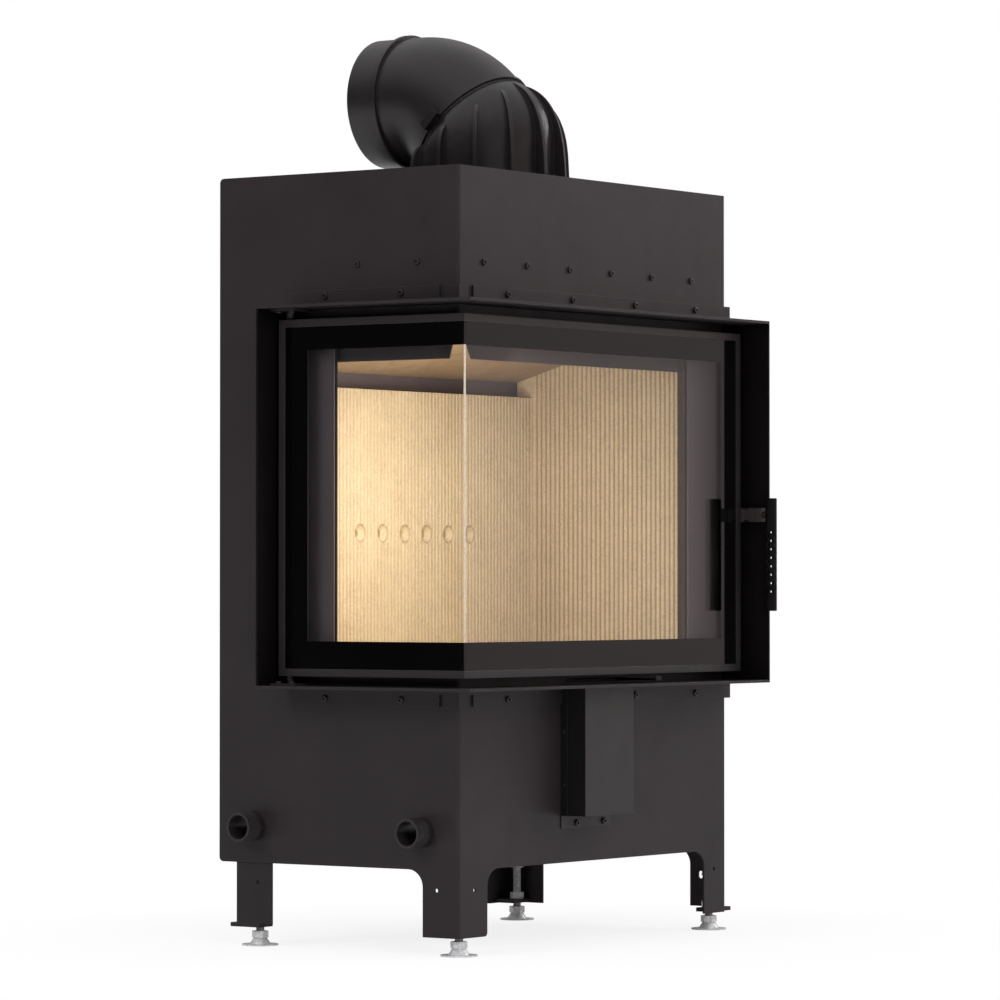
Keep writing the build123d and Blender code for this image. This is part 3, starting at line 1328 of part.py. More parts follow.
# Air lever and the damper plate that it slides
lever_x = (LEFT + LEVER_X - LEVER_WIDTH / 2, LEFT + LEVER_X + LEVER_WIDTH / 2)
damper_y = (FRONT + SHEET * 2, FRONT + SHEET * 2 + DAMPER[1])
with BuildPart() as air_lever:
    block(lever_x, (FRONT - LEVER_OUT, damper_y[0]), (LEVER_BOTTOM, LEVER_BOTTOM + LEVER_THICKNESS))
    block(
        lever_x,
        (FRONT - LEVER_OUT, FRONT - LEVER_OUT + LEVER_THICKNESS),
        (LEVER_BOTTOM, LEVER_BOTTOM + LEVER_TAB),
    )
    fillet(air_lever.edges().filter_by(Axis.Z).sort_by(Axis.Y)[:2], LEVER_THICKNESS * 0.8)
save(air_lever, "air_lever")

with BuildPart() as air_damper:
    block(
        (lever_x[1] - DAMPER[0], lever_x[1]),
        damper_y,
        (LEVER_BOTTOM, LEVER_BOTTOM + LEVER_THICKNESS),
    )
    with Locations(level(LEVER_BOTTOM + LEVER_THICKNESS)):
        with Locations(
            *[(lever_x[1] - DAMPER[0] * k / 4, (damper_y[0] + damper_y[1]) / 2) for k in (1, 2, 3)]
        ):
            Hole(DAMPER[1] / 4)
save(air_damper, "air_damper")

chamber_x = (LEFT + CHAMBER_INSETS[0], RIGHT - CHAMBER_INSETS[1])
chamber_back = FRONT + CHAMBER_DEPTH
chamber_top = LEVER_BOTTOM - REST_GAP
with BuildPart() as air_chamber:
    block(chamber_x, (damper_y[0], chamber_back), (CHAMBER_BOTTOM, chamber_top))
    block(
        (chamber_x[0] + CHAMBER_SHEET, chamber_x[1] - CHAMBER_SHEET),
        (damper_y[0] + CHAMBER_SHEET, chamber_back - CHAMBER_SHEET),
        (CHAMBER_BOTTOM + CHAMBER_SHEET, chamber_top - CHAMBER_SHEET),
        mode=Mode.SUBTRACT,
    )
    block(
        (chamber_x[0], chamber_x[1]),
        (chamber_back - CHAMBER_SHEET, chamber_back),
        (chamber_top, FIREBOX_FLOOR),
    )
    with Locations(level(chamber_top)):
        with Locations(
            *[(lever_x[1] - DAMPER[0] * k / 4, (damper_y[0] + damper_y[1]) / 2) for k in (1, 2, 3)]
        ):
            Hole(DAMPER[1] / 4 - CHAMBER_SHEET, depth=CHAMBER_SHEET + 1)
save(air_chamber, "air_chamber")

# Short threaded pipe stubs, seated on the left side panel with a narrower neck through it
thread_start = LEFT - STUB_REACH
with BuildPart() as side_stubs:
    for y in STUB_PLACES:
        with BuildSketch(across(thread_start)):
            with Locations((FRONT + y, STUB_HEIGHT)):
                Circle(STUB_RADIUS)
        extrude(amount=STUB_REACH)
        with BuildSketch(across(LEFT)):
            with Locations((FRONT + y, STUB_HEIGHT)):
                Circle(STUB_NECK)
        extrude(amount=STUB_INSIDE)
        with BuildSketch(across(LEFT + SHEET)):
            with Locations((FRONT + y, STUB_HEIGHT)):
                Circle(STUB_COLLAR)
        extrude(amount=STUB_COLLAR_LENGTH)
        with BuildSketch(Plane(origin=(0, FRONT + y, STUB_HEIGHT), x_dir=(1, 0, 0), z_dir=(0, 1, 0))):
            for turn in range(THREAD_TURNS):
                middle = thread_start + (turn + 1) * THREAD_PITCH
                with BuildLine():
                    Polyline(
                        (middle - THREAD_PITCH / 4, -STUB_RADIUS - 0.1),
                        (middle, -STUB_RADIUS + THREAD_DEPTH),
                        (middle + THREAD_PITCH / 4, -STUB_RADIUS - 0.1),
                        close=True,
                    )
                make_face()
        revolve(axis=Axis((0, FRONT + y, STUB_HEIGHT), (1, 0, 0)), mode=Mode.SUBTRACT)
        with BuildSketch(across(thread_start - 1)):
            with Locations((FRONT + y, STUB_HEIGHT)):
                Circle(STUB_BORE)
        extrude(amount=STUB_REACH + STUB_INSIDE + 2, mode=Mode.SUBTRACT)
save(side_stubs, "side_stubs")


def bend_plane(turn):
    """Plane square to the flue's centre line, turn degrees round its bend."""
    return Plane(
        origin=(
            flue_axis[0],
            BEND_CENTRE_Y - FLUE_BEND * cos(radians(turn)),
            FLUE_BEND_HEIGHT + FLUE_BEND * sin(radians(turn)),
        ),
        x_dir=(1, 0, 0),
        z_dir=(0, sin(radians(turn)), cos(radians(turn))),
    )


swivel = bend_plane(45).offset(-SWIVEL_SETBACK)
neck = swivel.offset(-DOME_NECK)
dome_base = Plane(origin=(flue_axis[0], flue_axis[1], FIREBOX_TOP + PLATE))
spigot_radius = FLUE_RADIUS - DOME_WALL - SPIGOT_CLEARANCE


def dome_ring(way):
    """Plane and radius of a ring of the dome, way 0 at its shoulder and 1 at its neck."""
    low = Vector(flue_axis[0], flue_axis[1] - DOME_RADIUS, DOME_SHOULDER)
    high = neck.from_local_coords(Vector(0, -FLUE_RADIUS))
    front = (
        low * (1 - way) ** 3
        + (low + Vector(0, 0, DOME_RISE)) * (3 * way * (1 - way) ** 2)
        + (high - neck.z_dir * DOME_LEAN) * (3 * way**2 * (1 - way))
        + high * way**3
    )
    rear_low = Vector(flue_axis[0], flue_axis[1] + DOME_RADIUS, DOME_SHOULDER)
    rear = rear_low * (1 - way) + neck.from_local_coords(Vector(0, FLUE_RADIUS)) * way
    across_ring = (rear - front).normalized()
    plane = Plane(origin=(front + rear) / 2, x_dir=(1, 0, 0), z_dir=Vector(1, 0, 0).cross(across_ring))
    return plane, (rear - front).length / 2


def dome_skin(inset, mode):
    """Upright part, dome and neck, inset by the wall for their hollow."""
    with BuildSketch(dome_base) as foot_ring:
        Circle(DOME_RADIUS - inset)
    extrude(foot_ring.sketch, amount=DOME_SHOULDER - FIREBOX_TOP - PLATE, mode=mode)
    sections = []
    for k in range(DOME_RINGS):
        plane, radius = dome_ring(k / (DOME_RINGS - 1))
        with BuildSketch(plane) as ring:
            Circle(radius - inset)
        sections.append(ring.sketch.face())
    loft(sections, mode=mode)
    extrude(sections[-1], amount=DOME_NECK, dir=swivel.z_dir, mode=mode)


def rib_edge(around, way, height):
    """Point of a rib's outer edge: its distance from the flue's upright axis, and its height."""
    plane, radius = dome_ring(way)
    place = plane.from_local_coords(Vector(radius * cos(around), radius * sin(around)))
    distance = (place.X - flue_axis[0]) * cos(around) + (place.Y - flue_axis[1]) * sin(around)
    return (distance + height, place.Z)


with BuildPart() as dome_ribs:
    for k in range(RIB_COUNT):
        around = radians(RIB_START + 360 / RIB_COUNT * k)
        radial = Plane(
            origin=(flue_axis[0], flue_axis[1], 0),
            x_dir=(cos(around), sin(around), 0),
            z_dir=(sin(around), -cos(around), 0),
        )
        edge = [
            rib_edge(around, step / RIB_STEPS * RIB_FADE, RIB_HEIGHT * (1 - (step / RIB_STEPS) ** 2))
            for step in range(RIB_STEPS)
        ]
        top = rib_edge(around, RIB_FADE, -DOME_WALL)
        with BuildSketch(radial) as rib:
            with BuildLine() as outline:
                Polyline(edge[0], (DOME_RADIUS + RIB_HEIGHT, RIB_BOTTOM), (RIB_CORE, RIB_BOTTOM), top)
                Spline(*edge, top)
            make_face(outline.edges())
        extrude(rib.sketch, amount=RIB_WIDTH / 2, both=True)

with BuildPart() as flue_dome:
    dome_skin(0, Mode.ADD)
    with BuildSketch(dome_base):
        Circle(DOME_BASE_RADIUS)
    extrude(amount=DOME_BASE)
    add(dome_ribs.part)
    dome_skin(DOME_WALL, Mode.SUBTRACT)
    with Locations(level(FIREBOX_TOP + PLATE + DOME_BASE)):
        with Locations((flue_axis[0], flue_axis[1])):
            with PolarLocations(DOME_BOLT_RING, DOME_BOLT_COUNT):
                Hole(BOLT_RADIUS, depth=DOME_BASE)
save(flue_dome, "flue_dome")

with BuildPart() as swivel_band:
    with BuildSketch(swivel.offset(-BAND_WIDTH)):
        Circle(FLUE_RADIUS + BAND_HEIGHT)
        Circle(FLUE_RADIUS, mode=Mode.SUBTRACT)
    extrude(amount=BAND_WIDTH)
    # Lug that closes the band, one on each side, reaching past the seam beside the elbow
    for side in (-1, 1):
        with BuildSketch(swivel.offset(-BAND_WIDTH)):
            with Locations((side * (FLUE_RADIUS + LUG[1] / 2), 0)):
                Rectangle(LUG[1], LUG[0])
            Circle(FLUE_RADIUS + LUG_CLEARANCE, mode=Mode.SUBTRACT)
        extrude(amount=LUG[2])
save(swivel_band, "swivel_band")

with BuildPart() as flue_elbow:
    with BuildSketch(bend_plane(45)):
        Circle(FLUE_RADIUS)
        Circle(FLUE_RADIUS - FLUE_WALL, mode=Mode.SUBTRACT)
    revolve(
        axis=Axis((flue_axis[0], BEND_CENTRE_Y, FLUE_BEND_HEIGHT), (-1, 0, 0)),
        revolution_arc=45,
    )
    # Straight start of the elbow above its seam with the dome
    with BuildSketch(swivel):
        Circle(FLUE_RADIUS)
        Circle(FLUE_RADIUS - FLUE_WALL, mode=Mode.SUBTRACT)
    extrude(amount=SWIVEL_SETBACK)
    # Spigot that turns in the neck of the dome, and the running gap above the neck
    with BuildSketch(swivel.offset(-SPIGOT_LENGTH)):
        Circle(spigot_radius)
        Circle(spigot_radius - FLUE_WALL, mode=Mode.SUBTRACT)
    extrude(amount=SPIGOT_LENGTH + SPIGOT_SEAT)
    with BuildSketch(swivel.offset(SWIVEL_GAP)):
        Circle(FLUE_RADIUS - FLUE_WALL / 2)
        Circle(spigot_radius - FLUE_WALL, mode=Mode.SUBTRACT)
    extrude(amount=SPIGOT_SEAT - SWIVEL_GAP)
    with BuildSketch(swivel.offset(-REST_GAP)):
        Circle(FLUE_RADIUS + 1)
        Circle(spigot_radius, mode=Mode.SUBTRACT)
    extrude(amount=REST_GAP + SWIVEL_GAP, mode=Mode.SUBTRACT)
    outlet_height = FLUE_BEND_HEIGHT + FLUE_BEND
    with BuildSketch(along(FRONT + FLUE_RIM)):
        with Locations((flue_axis[0], outlet_height)):
            Circle(FLUE_RADIUS)
            Circle(FLUE_RADIUS - FLUE_WALL, mode=Mode.SUBTRACT)
    extrude(amount=FRONT + FLUE_RIM - BEND_CENTRE_Y)
    with BuildSketch(along(FRONT + FLUE_BEAD[1])):
        with Locations((flue_axis[0], outlet_height)):
            Circle(FLUE_BEAD_RADIUS)
            Circle(FLUE_RADIUS - FLUE_WALL / 2, mode=Mode.SUBTRACT)
    extrude(amount=FLUE_BEAD[1] - FLUE_BEAD[0])
save(flue_elbow, "flue_elbow")
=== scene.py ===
import math

import bpy
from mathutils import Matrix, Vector


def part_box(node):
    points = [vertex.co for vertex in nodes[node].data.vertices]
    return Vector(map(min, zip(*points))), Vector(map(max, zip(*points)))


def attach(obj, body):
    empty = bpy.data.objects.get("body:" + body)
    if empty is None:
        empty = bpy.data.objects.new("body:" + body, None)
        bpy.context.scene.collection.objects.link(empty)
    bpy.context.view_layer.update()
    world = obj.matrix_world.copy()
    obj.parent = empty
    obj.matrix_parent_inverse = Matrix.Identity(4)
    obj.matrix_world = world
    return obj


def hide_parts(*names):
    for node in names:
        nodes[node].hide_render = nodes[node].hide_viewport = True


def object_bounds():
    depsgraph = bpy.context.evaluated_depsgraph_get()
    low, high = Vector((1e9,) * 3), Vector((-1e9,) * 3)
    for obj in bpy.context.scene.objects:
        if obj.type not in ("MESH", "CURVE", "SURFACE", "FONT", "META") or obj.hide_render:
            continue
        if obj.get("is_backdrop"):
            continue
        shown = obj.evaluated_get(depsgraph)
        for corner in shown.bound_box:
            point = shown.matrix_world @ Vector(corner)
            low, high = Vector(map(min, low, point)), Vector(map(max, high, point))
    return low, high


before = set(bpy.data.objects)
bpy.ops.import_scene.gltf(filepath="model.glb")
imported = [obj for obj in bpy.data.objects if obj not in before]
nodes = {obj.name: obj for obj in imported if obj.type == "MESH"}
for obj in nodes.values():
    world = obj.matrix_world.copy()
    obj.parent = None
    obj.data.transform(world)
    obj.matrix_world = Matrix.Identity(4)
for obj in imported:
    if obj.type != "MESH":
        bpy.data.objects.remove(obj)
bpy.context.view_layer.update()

# Camera, at the photograph's place and angle
CAMERA_PLACE = (-5.78315, -4.1484, 0.533)
CAMERA_FORWARD = (0.8134, 0.5817)
CAMERA_PITCH = math.radians(0.9583)
CAMERA_LENS = 172.15
CAMERA_SENSOR = 36.0
CAMERA_NEAR, CAMERA_FAR = 0.05, 200.0


def aim(thing, way):
    """Turn a camera or a lamp so that it looks along way."""
    thing.rotation_mode = "QUATERNION"
    thing.rotation_quaternion = way.to_track_quat("-Z", "Y")


camera_data = bpy.data.cameras.new("camera")
camera_data.lens = CAMERA_LENS
camera_data.sensor_width = CAMERA_SENSOR
camera_data.clip_start = CAMERA_NEAR
camera_data.clip_end = CAMERA_FAR
camera = bpy.data.objects.new("camera", camera_data)
bpy.context.scene.collection.objects.link(camera)
camera.location = CAMERA_PLACE
aim(camera, Vector((*CAMERA_FORWARD, math.tan(CAMERA_PITCH))))
bpy.context.scene.camera = camera


# Materials
X, Y, Z = 0, 1, 2
WHITE = (1.0, 1.0, 1.0, 1.0)
NOISE_LOW, NOISE_HIGH = 0.3, 0.7  # where most of a noise lies
EDGE_START, EDGE_FULL = 0.98, 0.80  # match of the normals, from flat sheet to sharp edge
ROD_SLACK = 0.0003


class Graph:
    """Node tree of a material or of the world, with short calls for its nodes."""

    def __init__(self, owner, out_kind="ShaderNodeOutputMaterial"):
        owner.use_nodes = True
        self.owner = owner
        self.tree = owner.node_tree
        self.tree.nodes.clear()
        self.out = self.add(out_kind)
        coordinates = self.add("ShaderNodeTexCoord").outputs
        self.place = coordinates["Object"]
        self.facing = coordinates["Normal"]
        self.way = coordinates["Generated"]

    def add(self, kind, inputs=None, **settings):
        node = self.tree.nodes.new(kind)
        for key, value in settings.items():
            setattr(node, key, value)
        for key, value in (inputs or {}).items():
            self.feed(node.inputs[key], value)
        return node

    def feed(self, socket, value):
        if isinstance(value, bpy.types.NodeSocket):
            self.tree.links.new(value, socket)
        else:
            socket.default_value = value

    def math(self, operation, first, second=0.0, third=0.0):
        return self.add("ShaderNodeMath", {0: first, 1: second, 2: third}, operation=operation).outputs[0]

    def parts(self, vector):
        """The x, y and z of a vector."""
        return self.add("ShaderNodeSeparateXYZ", {"Vector": vector}).outputs

    def stretch(self, scale, turn=(0.0, 0.0, 0.0)):
        """Place in a stretched and turned pattern."""
        inputs = {"Vector": self.place, "Rotation": turn, "Scale": scale}
        return self.add("ShaderNodeMapping", inputs).outputs[0]

    def noise(self, scale, detail=4.0, rough=0.6, vector=None):
        inputs = {"Vector": vector or self.place, "Scale": scale, "Detail": detail, "Roughness": rough}
        return self.add("ShaderNodeTexNoise", inputs).outputs["Fac"]

    def cells(self, scale):
        """Flat cells of crystal or flake, each with a value of its own."""
        cells = self.add("ShaderNodeTexVoronoi", {"Vector": self.place, "Scale": scale}).outputs["Color"]
        return self.add("ShaderNodeSeparateColor", {"Color": cells}).outputs[0]

    def span(self, value, low=NOISE_LOW, high=NOISE_HIGH, to_low=0.0, to_high=1.0):
        """Value from low to high, as a value from to_low to to_high."""
        inputs = {"Value": value, "From Min": low, "From Max": high, "To Min": to_low, "To Max": to_high}
        return self.add("ShaderNodeMapRange", inputs, clamp=True).outputs[0]

    def gloss(self, value, low, high):
        """Roughness that wanders between low and high with a noise."""
        return self.span(value, to_low=low, to_high=high)

    def tint(self, share, first, second):
        """Colour between two others."""
        return self.add("ShaderNodeMix", {0: share, 6: first, 7: second}, data_type="RGBA").outputs[2]

    def blend(self, share, first, second):
        """Shader between two others."""
        inputs = {0: share, 1: first.outputs[0], 2: second.outputs[0]}
        return self.add("ShaderNodeMixShader", inputs)

    def bump(self, height, strength, distance, under=None):
        inputs = {"Height": height, "Strength": strength, "Distance": distance}
        if under is not None:
            inputs["Normal"] = under
        return self.add("ShaderNodeBump", inputs).outputs[0]

    def worn_edge(self, radius):
        """Softened normal at the sharp edges, and how much of an edge a point is."""
        softened = self.add("ShaderNodeBevel", {"Radius": radius}, samples=4).outputs[0]
        plain = self.add("ShaderNodeNewGeometry").outputs["True Normal"]
        match = self.add("ShaderNodeVectorMath", {0: softened, 1: plain}, operation="DOT_PRODUCT")
        return softened, self.span(match.outputs["Value"], EDGE_START, EDGE_FULL)

    def rubbed(self, edge, scale):
        """Patches along the edges where the coat is thin."""
        return self.math("MULTIPLY", edge, self.span(self.noise(scale, detail=3.0), 0.35, 0.7))

    def seen_plainly(self):
        """1 for rays from the camera or through glass, and 0 for those that light or mirror."""
        path = self.add("ShaderNodeLightPath").outputs
        return self.math("MAXIMUM", path["Is Camera Ray"], path["Is Transmission Ray"])

    def principled(self, **sockets):
        inputs = {key.replace("_", " "): value for key, value in sockets.items()}
        return self.add("ShaderNodeBsdfPrincipled", inputs)

    def show(self, shader):
        """Send a shader to the output, and give back the material or the world."""
        self.feed(self.out.inputs["Surface"], shader.outputs[0])
        return self.owner


def material_graph(name):
    return Graph(bpy.data.materials.new(name))


def grey(value, warmth=0.0):
    """Linear grey, a little warmer or cooler."""
    return (value * (1 + warmth), value, value * (1 - warmth), 1.0)


def shaded(color, share):
    """A colour made darker or lighter."""
    return (color[0] * share, color[1] * share, color[2] * share, 1.0)


def coat(value):
    """Black coat with its faint plum cast."""
    return (value * 1.22, value, value * 1.08, 1.0)


def coated_steel(name, tone, rough, grain=1400.0, depth=0.00005, specular=0.5, painted_light=None):
    """Powder-coated sheet: fine orange peel, cloudy tone, edges where the coat is thin.

    painted_light gives the places (x, y) beyond which the coat is painted lighter, as painted light, and
    how many times lighter it is there.
    """
    dark, light = coat(tone * 0.86), coat(tone * 1.14)
    speck, thin = coat(tone * 1.35), coat(tone * 3.2 + 0.02)
    g = material_graph(name)
    specks = g.noise(grain, detail=2.0)
    soft, edge = g.worn_edge(radius=0.0012)
    rubbed = g.rubbed(edge, 60.0)
    body = g.tint(g.span(g.noise(7.0)), dark, light)
    # Painted light: beyond the given x and y the coat is painted lighter, for the faces that catch the
    # light
    if painted_light:
        lit_from_x, lit_from_y, factor = painted_light
        place = g.parts(g.place)
        past_x = g.math("GREATER_THAN", place[X], lit_from_x)
        past_y = g.math("GREATER_THAN", place[Y], lit_from_y)
        body = g.tint(g.math("MULTIPLY", past_x, past_y), body, coat(tone * factor))
    body = g.tint(g.span(specks, 0.45, 0.75, to_high=0.3), body, speck)
    body = g.tint(g.math("MULTIPLY", rubbed, 0.5), body, thin)
    gloss = g.gloss(g.noise(22.0), rough - 0.05, rough + 0.05)
    gloss = g.math("SUBTRACT", gloss, g.math("MULTIPLY", rubbed, 0.12))
    normal = g.bump(specks, strength=0.25, distance=depth, under=soft)
    shader = g.principled(Base_Color=body, Roughness=gloss, Specular_IOR_Level=specular, Normal=normal)
    return g.show(shader)


def bare_metal(name, color, rough, stretch, metallic=1.0):
    """Machined, rolled or plated metal; stretch gives its scratches their direction."""
    dark, plain = shaded(color, 0.72), shaded(color, 1.0)
    light = tuple(min(part, 1.0) for part in shaded(color, 1.15))
    g = material_graph(name)
    marks = g.noise(500.0, rough=0.65, vector=g.stretch(stretch))
    soft, edge = g.worn_edge(radius=0.0007)
    body = g.tint(g.span(g.noise(30.0)), dark, plain)
    # Painted highlight: the sharp edges are coloured lighter
    body = g.tint(g.math("MULTIPLY", edge, 0.3), body, light)
    gloss = g.gloss(marks, rough - 0.07, rough + 0.09)
    normal = g.bump(marks, strength=0.2, distance=0.00006, under=soft)
    return g.show(g.principled(Base_Color=body, Metallic=metallic, Roughness=gloss, Normal=normal))


def foot_zinc(name, axis, rod_radius, pitch):
    """Bright zinc plate with the rolled thread of the rod round its axis."""
    dark, light, dull = (0.62, 0.62, 0.63, 1.0), (0.82, 0.82, 0.83, 1.0), (0.36, 0.35, 0.33, 1.0)
    g = material_graph(name)
    spangle = g.cells(260.0)
    soft, _ = g.worn_edge(radius=0.0006)
    body = g.tint(g.span(spangle, 0.2, 0.8), dark, light)
    body = g.tint(g.span(g.noise(45.0), 0.55, 0.8, to_high=0.4), body, dull)
    place = g.parts(g.place)
    off_x = g.math("SUBTRACT", place[X], axis[X])
    off_y = g.math("SUBTRACT", place[Y], axis[Y])
    away = g.math("SQRT", g.math("MULTIPLY_ADD", off_x, off_x, g.math("MULTIPLY", off_y, off_y)))
    share_of_turn = g.math("DIVIDE", g.math("ARCTAN2", off_y, off_x), 2 * math.pi)
    turns = g.math("ADD", g.math("DIVIDE", place[Z], pitch), share_of_turn)
    ridge = g.math("ABSOLUTE", g.math("SUBTRACT", g.math("FRACT", turns), 0.5))
    on_rod = g.math("LESS_THAN", away, rod_radius + ROD_SLACK)
    normal = g.bump(g.math("MULTIPLY", ridge, on_rod), strength=1.0, distance=0.0016, under=soft)
    gloss = g.span(spangle, 0.0, 1.0, 0.28, 0.42)
    return g.show(g.principled(Base_Color=body, Metallic=0.3, Roughness=gloss, Normal=normal))


def fire_clay(name, tone, shade, flutes=None, groove_shade=0.0):
    """Pressed vermiculite slab: flakes, pores and a faint warm mottle.

    flutes gives the axis, the face and the depth of the grooves, and groove_shade how dark the painted
    shade in their bottoms is.
    """
    pale_flake, dark_flake, edge_highlight = shaded(tone, 1.22), shaded(shade, 0.55), shaded(tone, 1.2)
    g = material_graph(name)
    flake = g.cells(420.0)
    pores = g.noise(700.0, detail=3.0, rough=0.7)
    soft, edge = g.worn_edge(radius=0.0015)
    mottle = g.span(g.noise(28.0, detail=5.0, rough=0.65), 0.3, 0.72)
    body = g.tint(mottle, shaded(shade, 1.0), shaded(tone, 1.0))
    body = g.tint(g.span(flake, 0.55, 1.0, to_high=0.35), body, pale_flake)
    body = g.tint(g.span(flake, 0.2, 0.0, to_high=0.3), body, dark_flake)
    # Painted highlight: the sharp edges are coloured lighter
    body = g.tint(g.math("MULTIPLY", edge, 0.35), body, edge_highlight)
    # Painted shade: the bottoms of the grooves are darkened by how deep a point lies behind the face
    if flutes:
        axis, face, depth = flutes
        place = g.parts(g.place)[axis]
        sunk = g.span(place, face + depth * 0.1, face + depth * 0.9)
        inside = g.math("LESS_THAN", place, face + depth * 1.1)
        painted_groove_shade = g.math("MULTIPLY", g.math("MULTIPLY", sunk, inside), groove_shade)
        body = g.tint(painted_groove_shade, body, shaded(shade, 0.3))
    height = g.math("ADD", g.math("MULTIPLY", flake, 0.6), pores)
    normal = g.bump(height, strength=0.35, distance=0.00035, under=soft)
    gloss = g.gloss(pores, 0.82, 0.96)
    return g.show(g.principled(Base_Color=body, Roughness=gloss, Specular_IOR_Level=0.25, Normal=normal))


def cast_iron(name, tone, rough):
    """Painted casting: sandy skin under a satin black coat."""
    dark, light = coat(tone * 0.85), coat(tone * 1.2)
    grain, thin = coat(tone * 1.8), coat(tone * 3.0 + 0.02)
    g = material_graph(name)
    sand = g.noise(480.0, rough=0.7)
    swell = g.noise(55.0, detail=3.0, rough=0.5)
    soft, edge = g.worn_edge(radius=0.0018)
    body = g.tint(g.span(swell), dark, light)
    body = g.tint(g.span(sand, 0.5, 0.8, to_high=0.3), body, grain)
    body = g.tint(g.math("MULTIPLY", g.rubbed(edge, 50.0), 0.5), body, thin)
    gloss = g.gloss(g.noise(26.0), rough - 0.06, rough + 0.07)
    skin = g.bump(swell, strength=0.15, distance=0.0004, under=soft)
    normal = g.bump(sand, strength=0.35, distance=0.00025, under=skin)
    return g.show(g.principled(Base_Color=body, Roughness=gloss, Normal=normal))


def rope(name):
    """Braided glass-fibre rope, dark with graphite."""
    g = material_graph(name)
    one, two = (
        g.add("ShaderNodeTexWave", {"Vector": g.stretch((1, 1, 1), turn), "Scale": 160.0}).outputs["Fac"]
        for turn in ((0.7, 0.7, 0.7), (-0.7, -0.7, 0.7))
    )
    braid = g.math("MULTIPLY", one, two)
    fuzz = g.noise(1600.0, detail=3.0, rough=0.7)
    body = g.tint(braid, grey(0.02, warmth=0.05), grey(0.085, warmth=0.06))
    body = g.tint(g.span(fuzz, 0.5, 0.8, to_high=0.5), body, grey(0.16, warmth=0.04))
    height = g.math("ADD", braid, g.math("MULTIPLY", fuzz, 0.4))
    normal = g.bump(height, strength=0.8, distance=0.0008)
    gloss = g.gloss(fuzz, 0.8, 0.98)
    return g.show(g.principled(Base_Color=body, Roughness=gloss, Specular_IOR_Level=0.2, Normal=normal))


def pane(name, across_axis, print_edges, ink_tone):
    """Ceramic glass: clear middle, black printed border and polished edges painted pale, as a painted
    highlight.

    across_axis is the pane's thickness; print_edges lists (axis, place, side) of the borders.
    """
    g = material_graph(name)
    place = g.parts(g.place)
    printed = 0.0
    for axis, start, side in print_edges:
        beyond = g.math("GREATER_THAN" if side > 0 else "LESS_THAN", place[axis], start)
        printed = g.math("MAXIMUM", printed, beyond)
    rim = g.math("LESS_THAN", g.math("ABSOLUTE", g.parts(g.facing)[across_axis]), 0.5)

    grazing = g.add("ShaderNodeLayerWeight", {"Blend": 0.5}).outputs["Facing"]
    mirror = g.span(g.math("POWER", grazing, 5.0), 0.0, 1.0, 0.04, 1.0)
    smear = g.noise(9.0)
    film = g.span(smear, 0.35, 0.75, 0.012, 0.045)
    clear = g.add("ShaderNodeBsdfTransparent", {"Color": (0.95, 0.955, 0.95, 1.0)})
    shine = g.add("ShaderNodeBsdfGlossy", {"Color": WHITE, "Roughness": film})
    glass = g.blend(mirror, clear, shine)

    dust = g.span(g.noise(900.0, detail=2.0), 0.45, 0.8)
    ink = g.tint(dust, grey(ink_tone), grey(ink_tone * 2))
    border = g.principled(Base_Color=ink, Roughness=g.span(smear, 0.35, 0.75, 0.03, 0.09))
    # Painted highlight: the polished edges are an opaque pale tan, for the light that shines along the
    # edge of the glass
    chips = g.span(g.noise(300.0, detail=3.0))
    lit_edge_colour = g.tint(chips, (0.62, 0.54, 0.42, 1.0), (0.86, 0.77, 0.62, 1.0))
    polished = g.principled(Base_Color=lit_edge_colour, Roughness=0.18, Specular_IOR_Level=0.6)
    bright = g.math("MULTIPLY", rim, g.math("SUBTRACT", 1.0, printed))
    return g.show(g.blend(bright, g.blend(printed, glass, border), polished))


def dress(material, *names):
    """Give CAD nodes their material."""
    for name in names:
        slots = nodes[name].data.materials
        slots.clear()
        slots.append(material)


# Outer steel
dress(
    coated_steel("casing_coat", 0.018, 0.46, specular=0.3),
    "left_side_panel",
    "right_side_panel",
    "front_upper_panel",
    "front_lower_panel",
    "back_panel",
    "rear_left_leg",
    "rear_right_leg",
    "mask_top_plate",
    "mask_bottom_plate",
    "hinge_plates",
    "latch_keeper",
    "foot_bars",
)
# Painted shade: the end plates of the mask are coated near black, for the shade that falls on them
dress(coated_steel("mask_end_painted_shade", 0.0035, 0.5, specular=0.1), "mask_right_end", "mask_rear_end")

# Painted light and shade: the front of the air box and the inner flange of the door catch the light and
# are painted lighter; their left faces don't, and the air box's near-black coat paints the shade on its
# left face
PAINTED_LIGHT_GAIN = 5.0
NO_LIMIT = -1.0
BOX_SIDE = 0.001
box_low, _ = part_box("air_box_cover")
box_coat = coated_steel("air_box_painted_shade_coat", 0.003, 0.5, painted_light=(box_low.x + BOX_SIDE, NO_LIMIT, PAINTED_LIGHT_GAIN))
dress(box_coat, "air_box_base", "air_box_cover")
FLANGE_DEPTH = 0.0331
FLANGE_SHEET = 0.003
door_low, door_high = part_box("door_frame")
inner_flange = (door_low.x + FLANGE_DEPTH - FLANGE_SHEET, door_low.y + FLANGE_DEPTH - FLANGE_SHEET)
dress(coated_steel("door_coat", 0.013, 0.4, painted_light=(*inner_flange, PAINTED_LIGHT_GAIN)), "door_frame")
dress(
    coated_steel("retainer_coat", 0.02, 0.42),
    "side_glass_retainer",
    "front_glass_retainer",
    "hinge_blocks",
    "handle_housing",
)
dress(
    coated_steel("blackened_bolts", 0.012, 0.34, grain=900.0),
    "casing_bolts",
    "hinge_screws",
    "air_box_fasteners",
)
dress(coated_steel("grip_coat", 0.003, 0.36, specular=0.12), "handle_grip", "grip_caps")

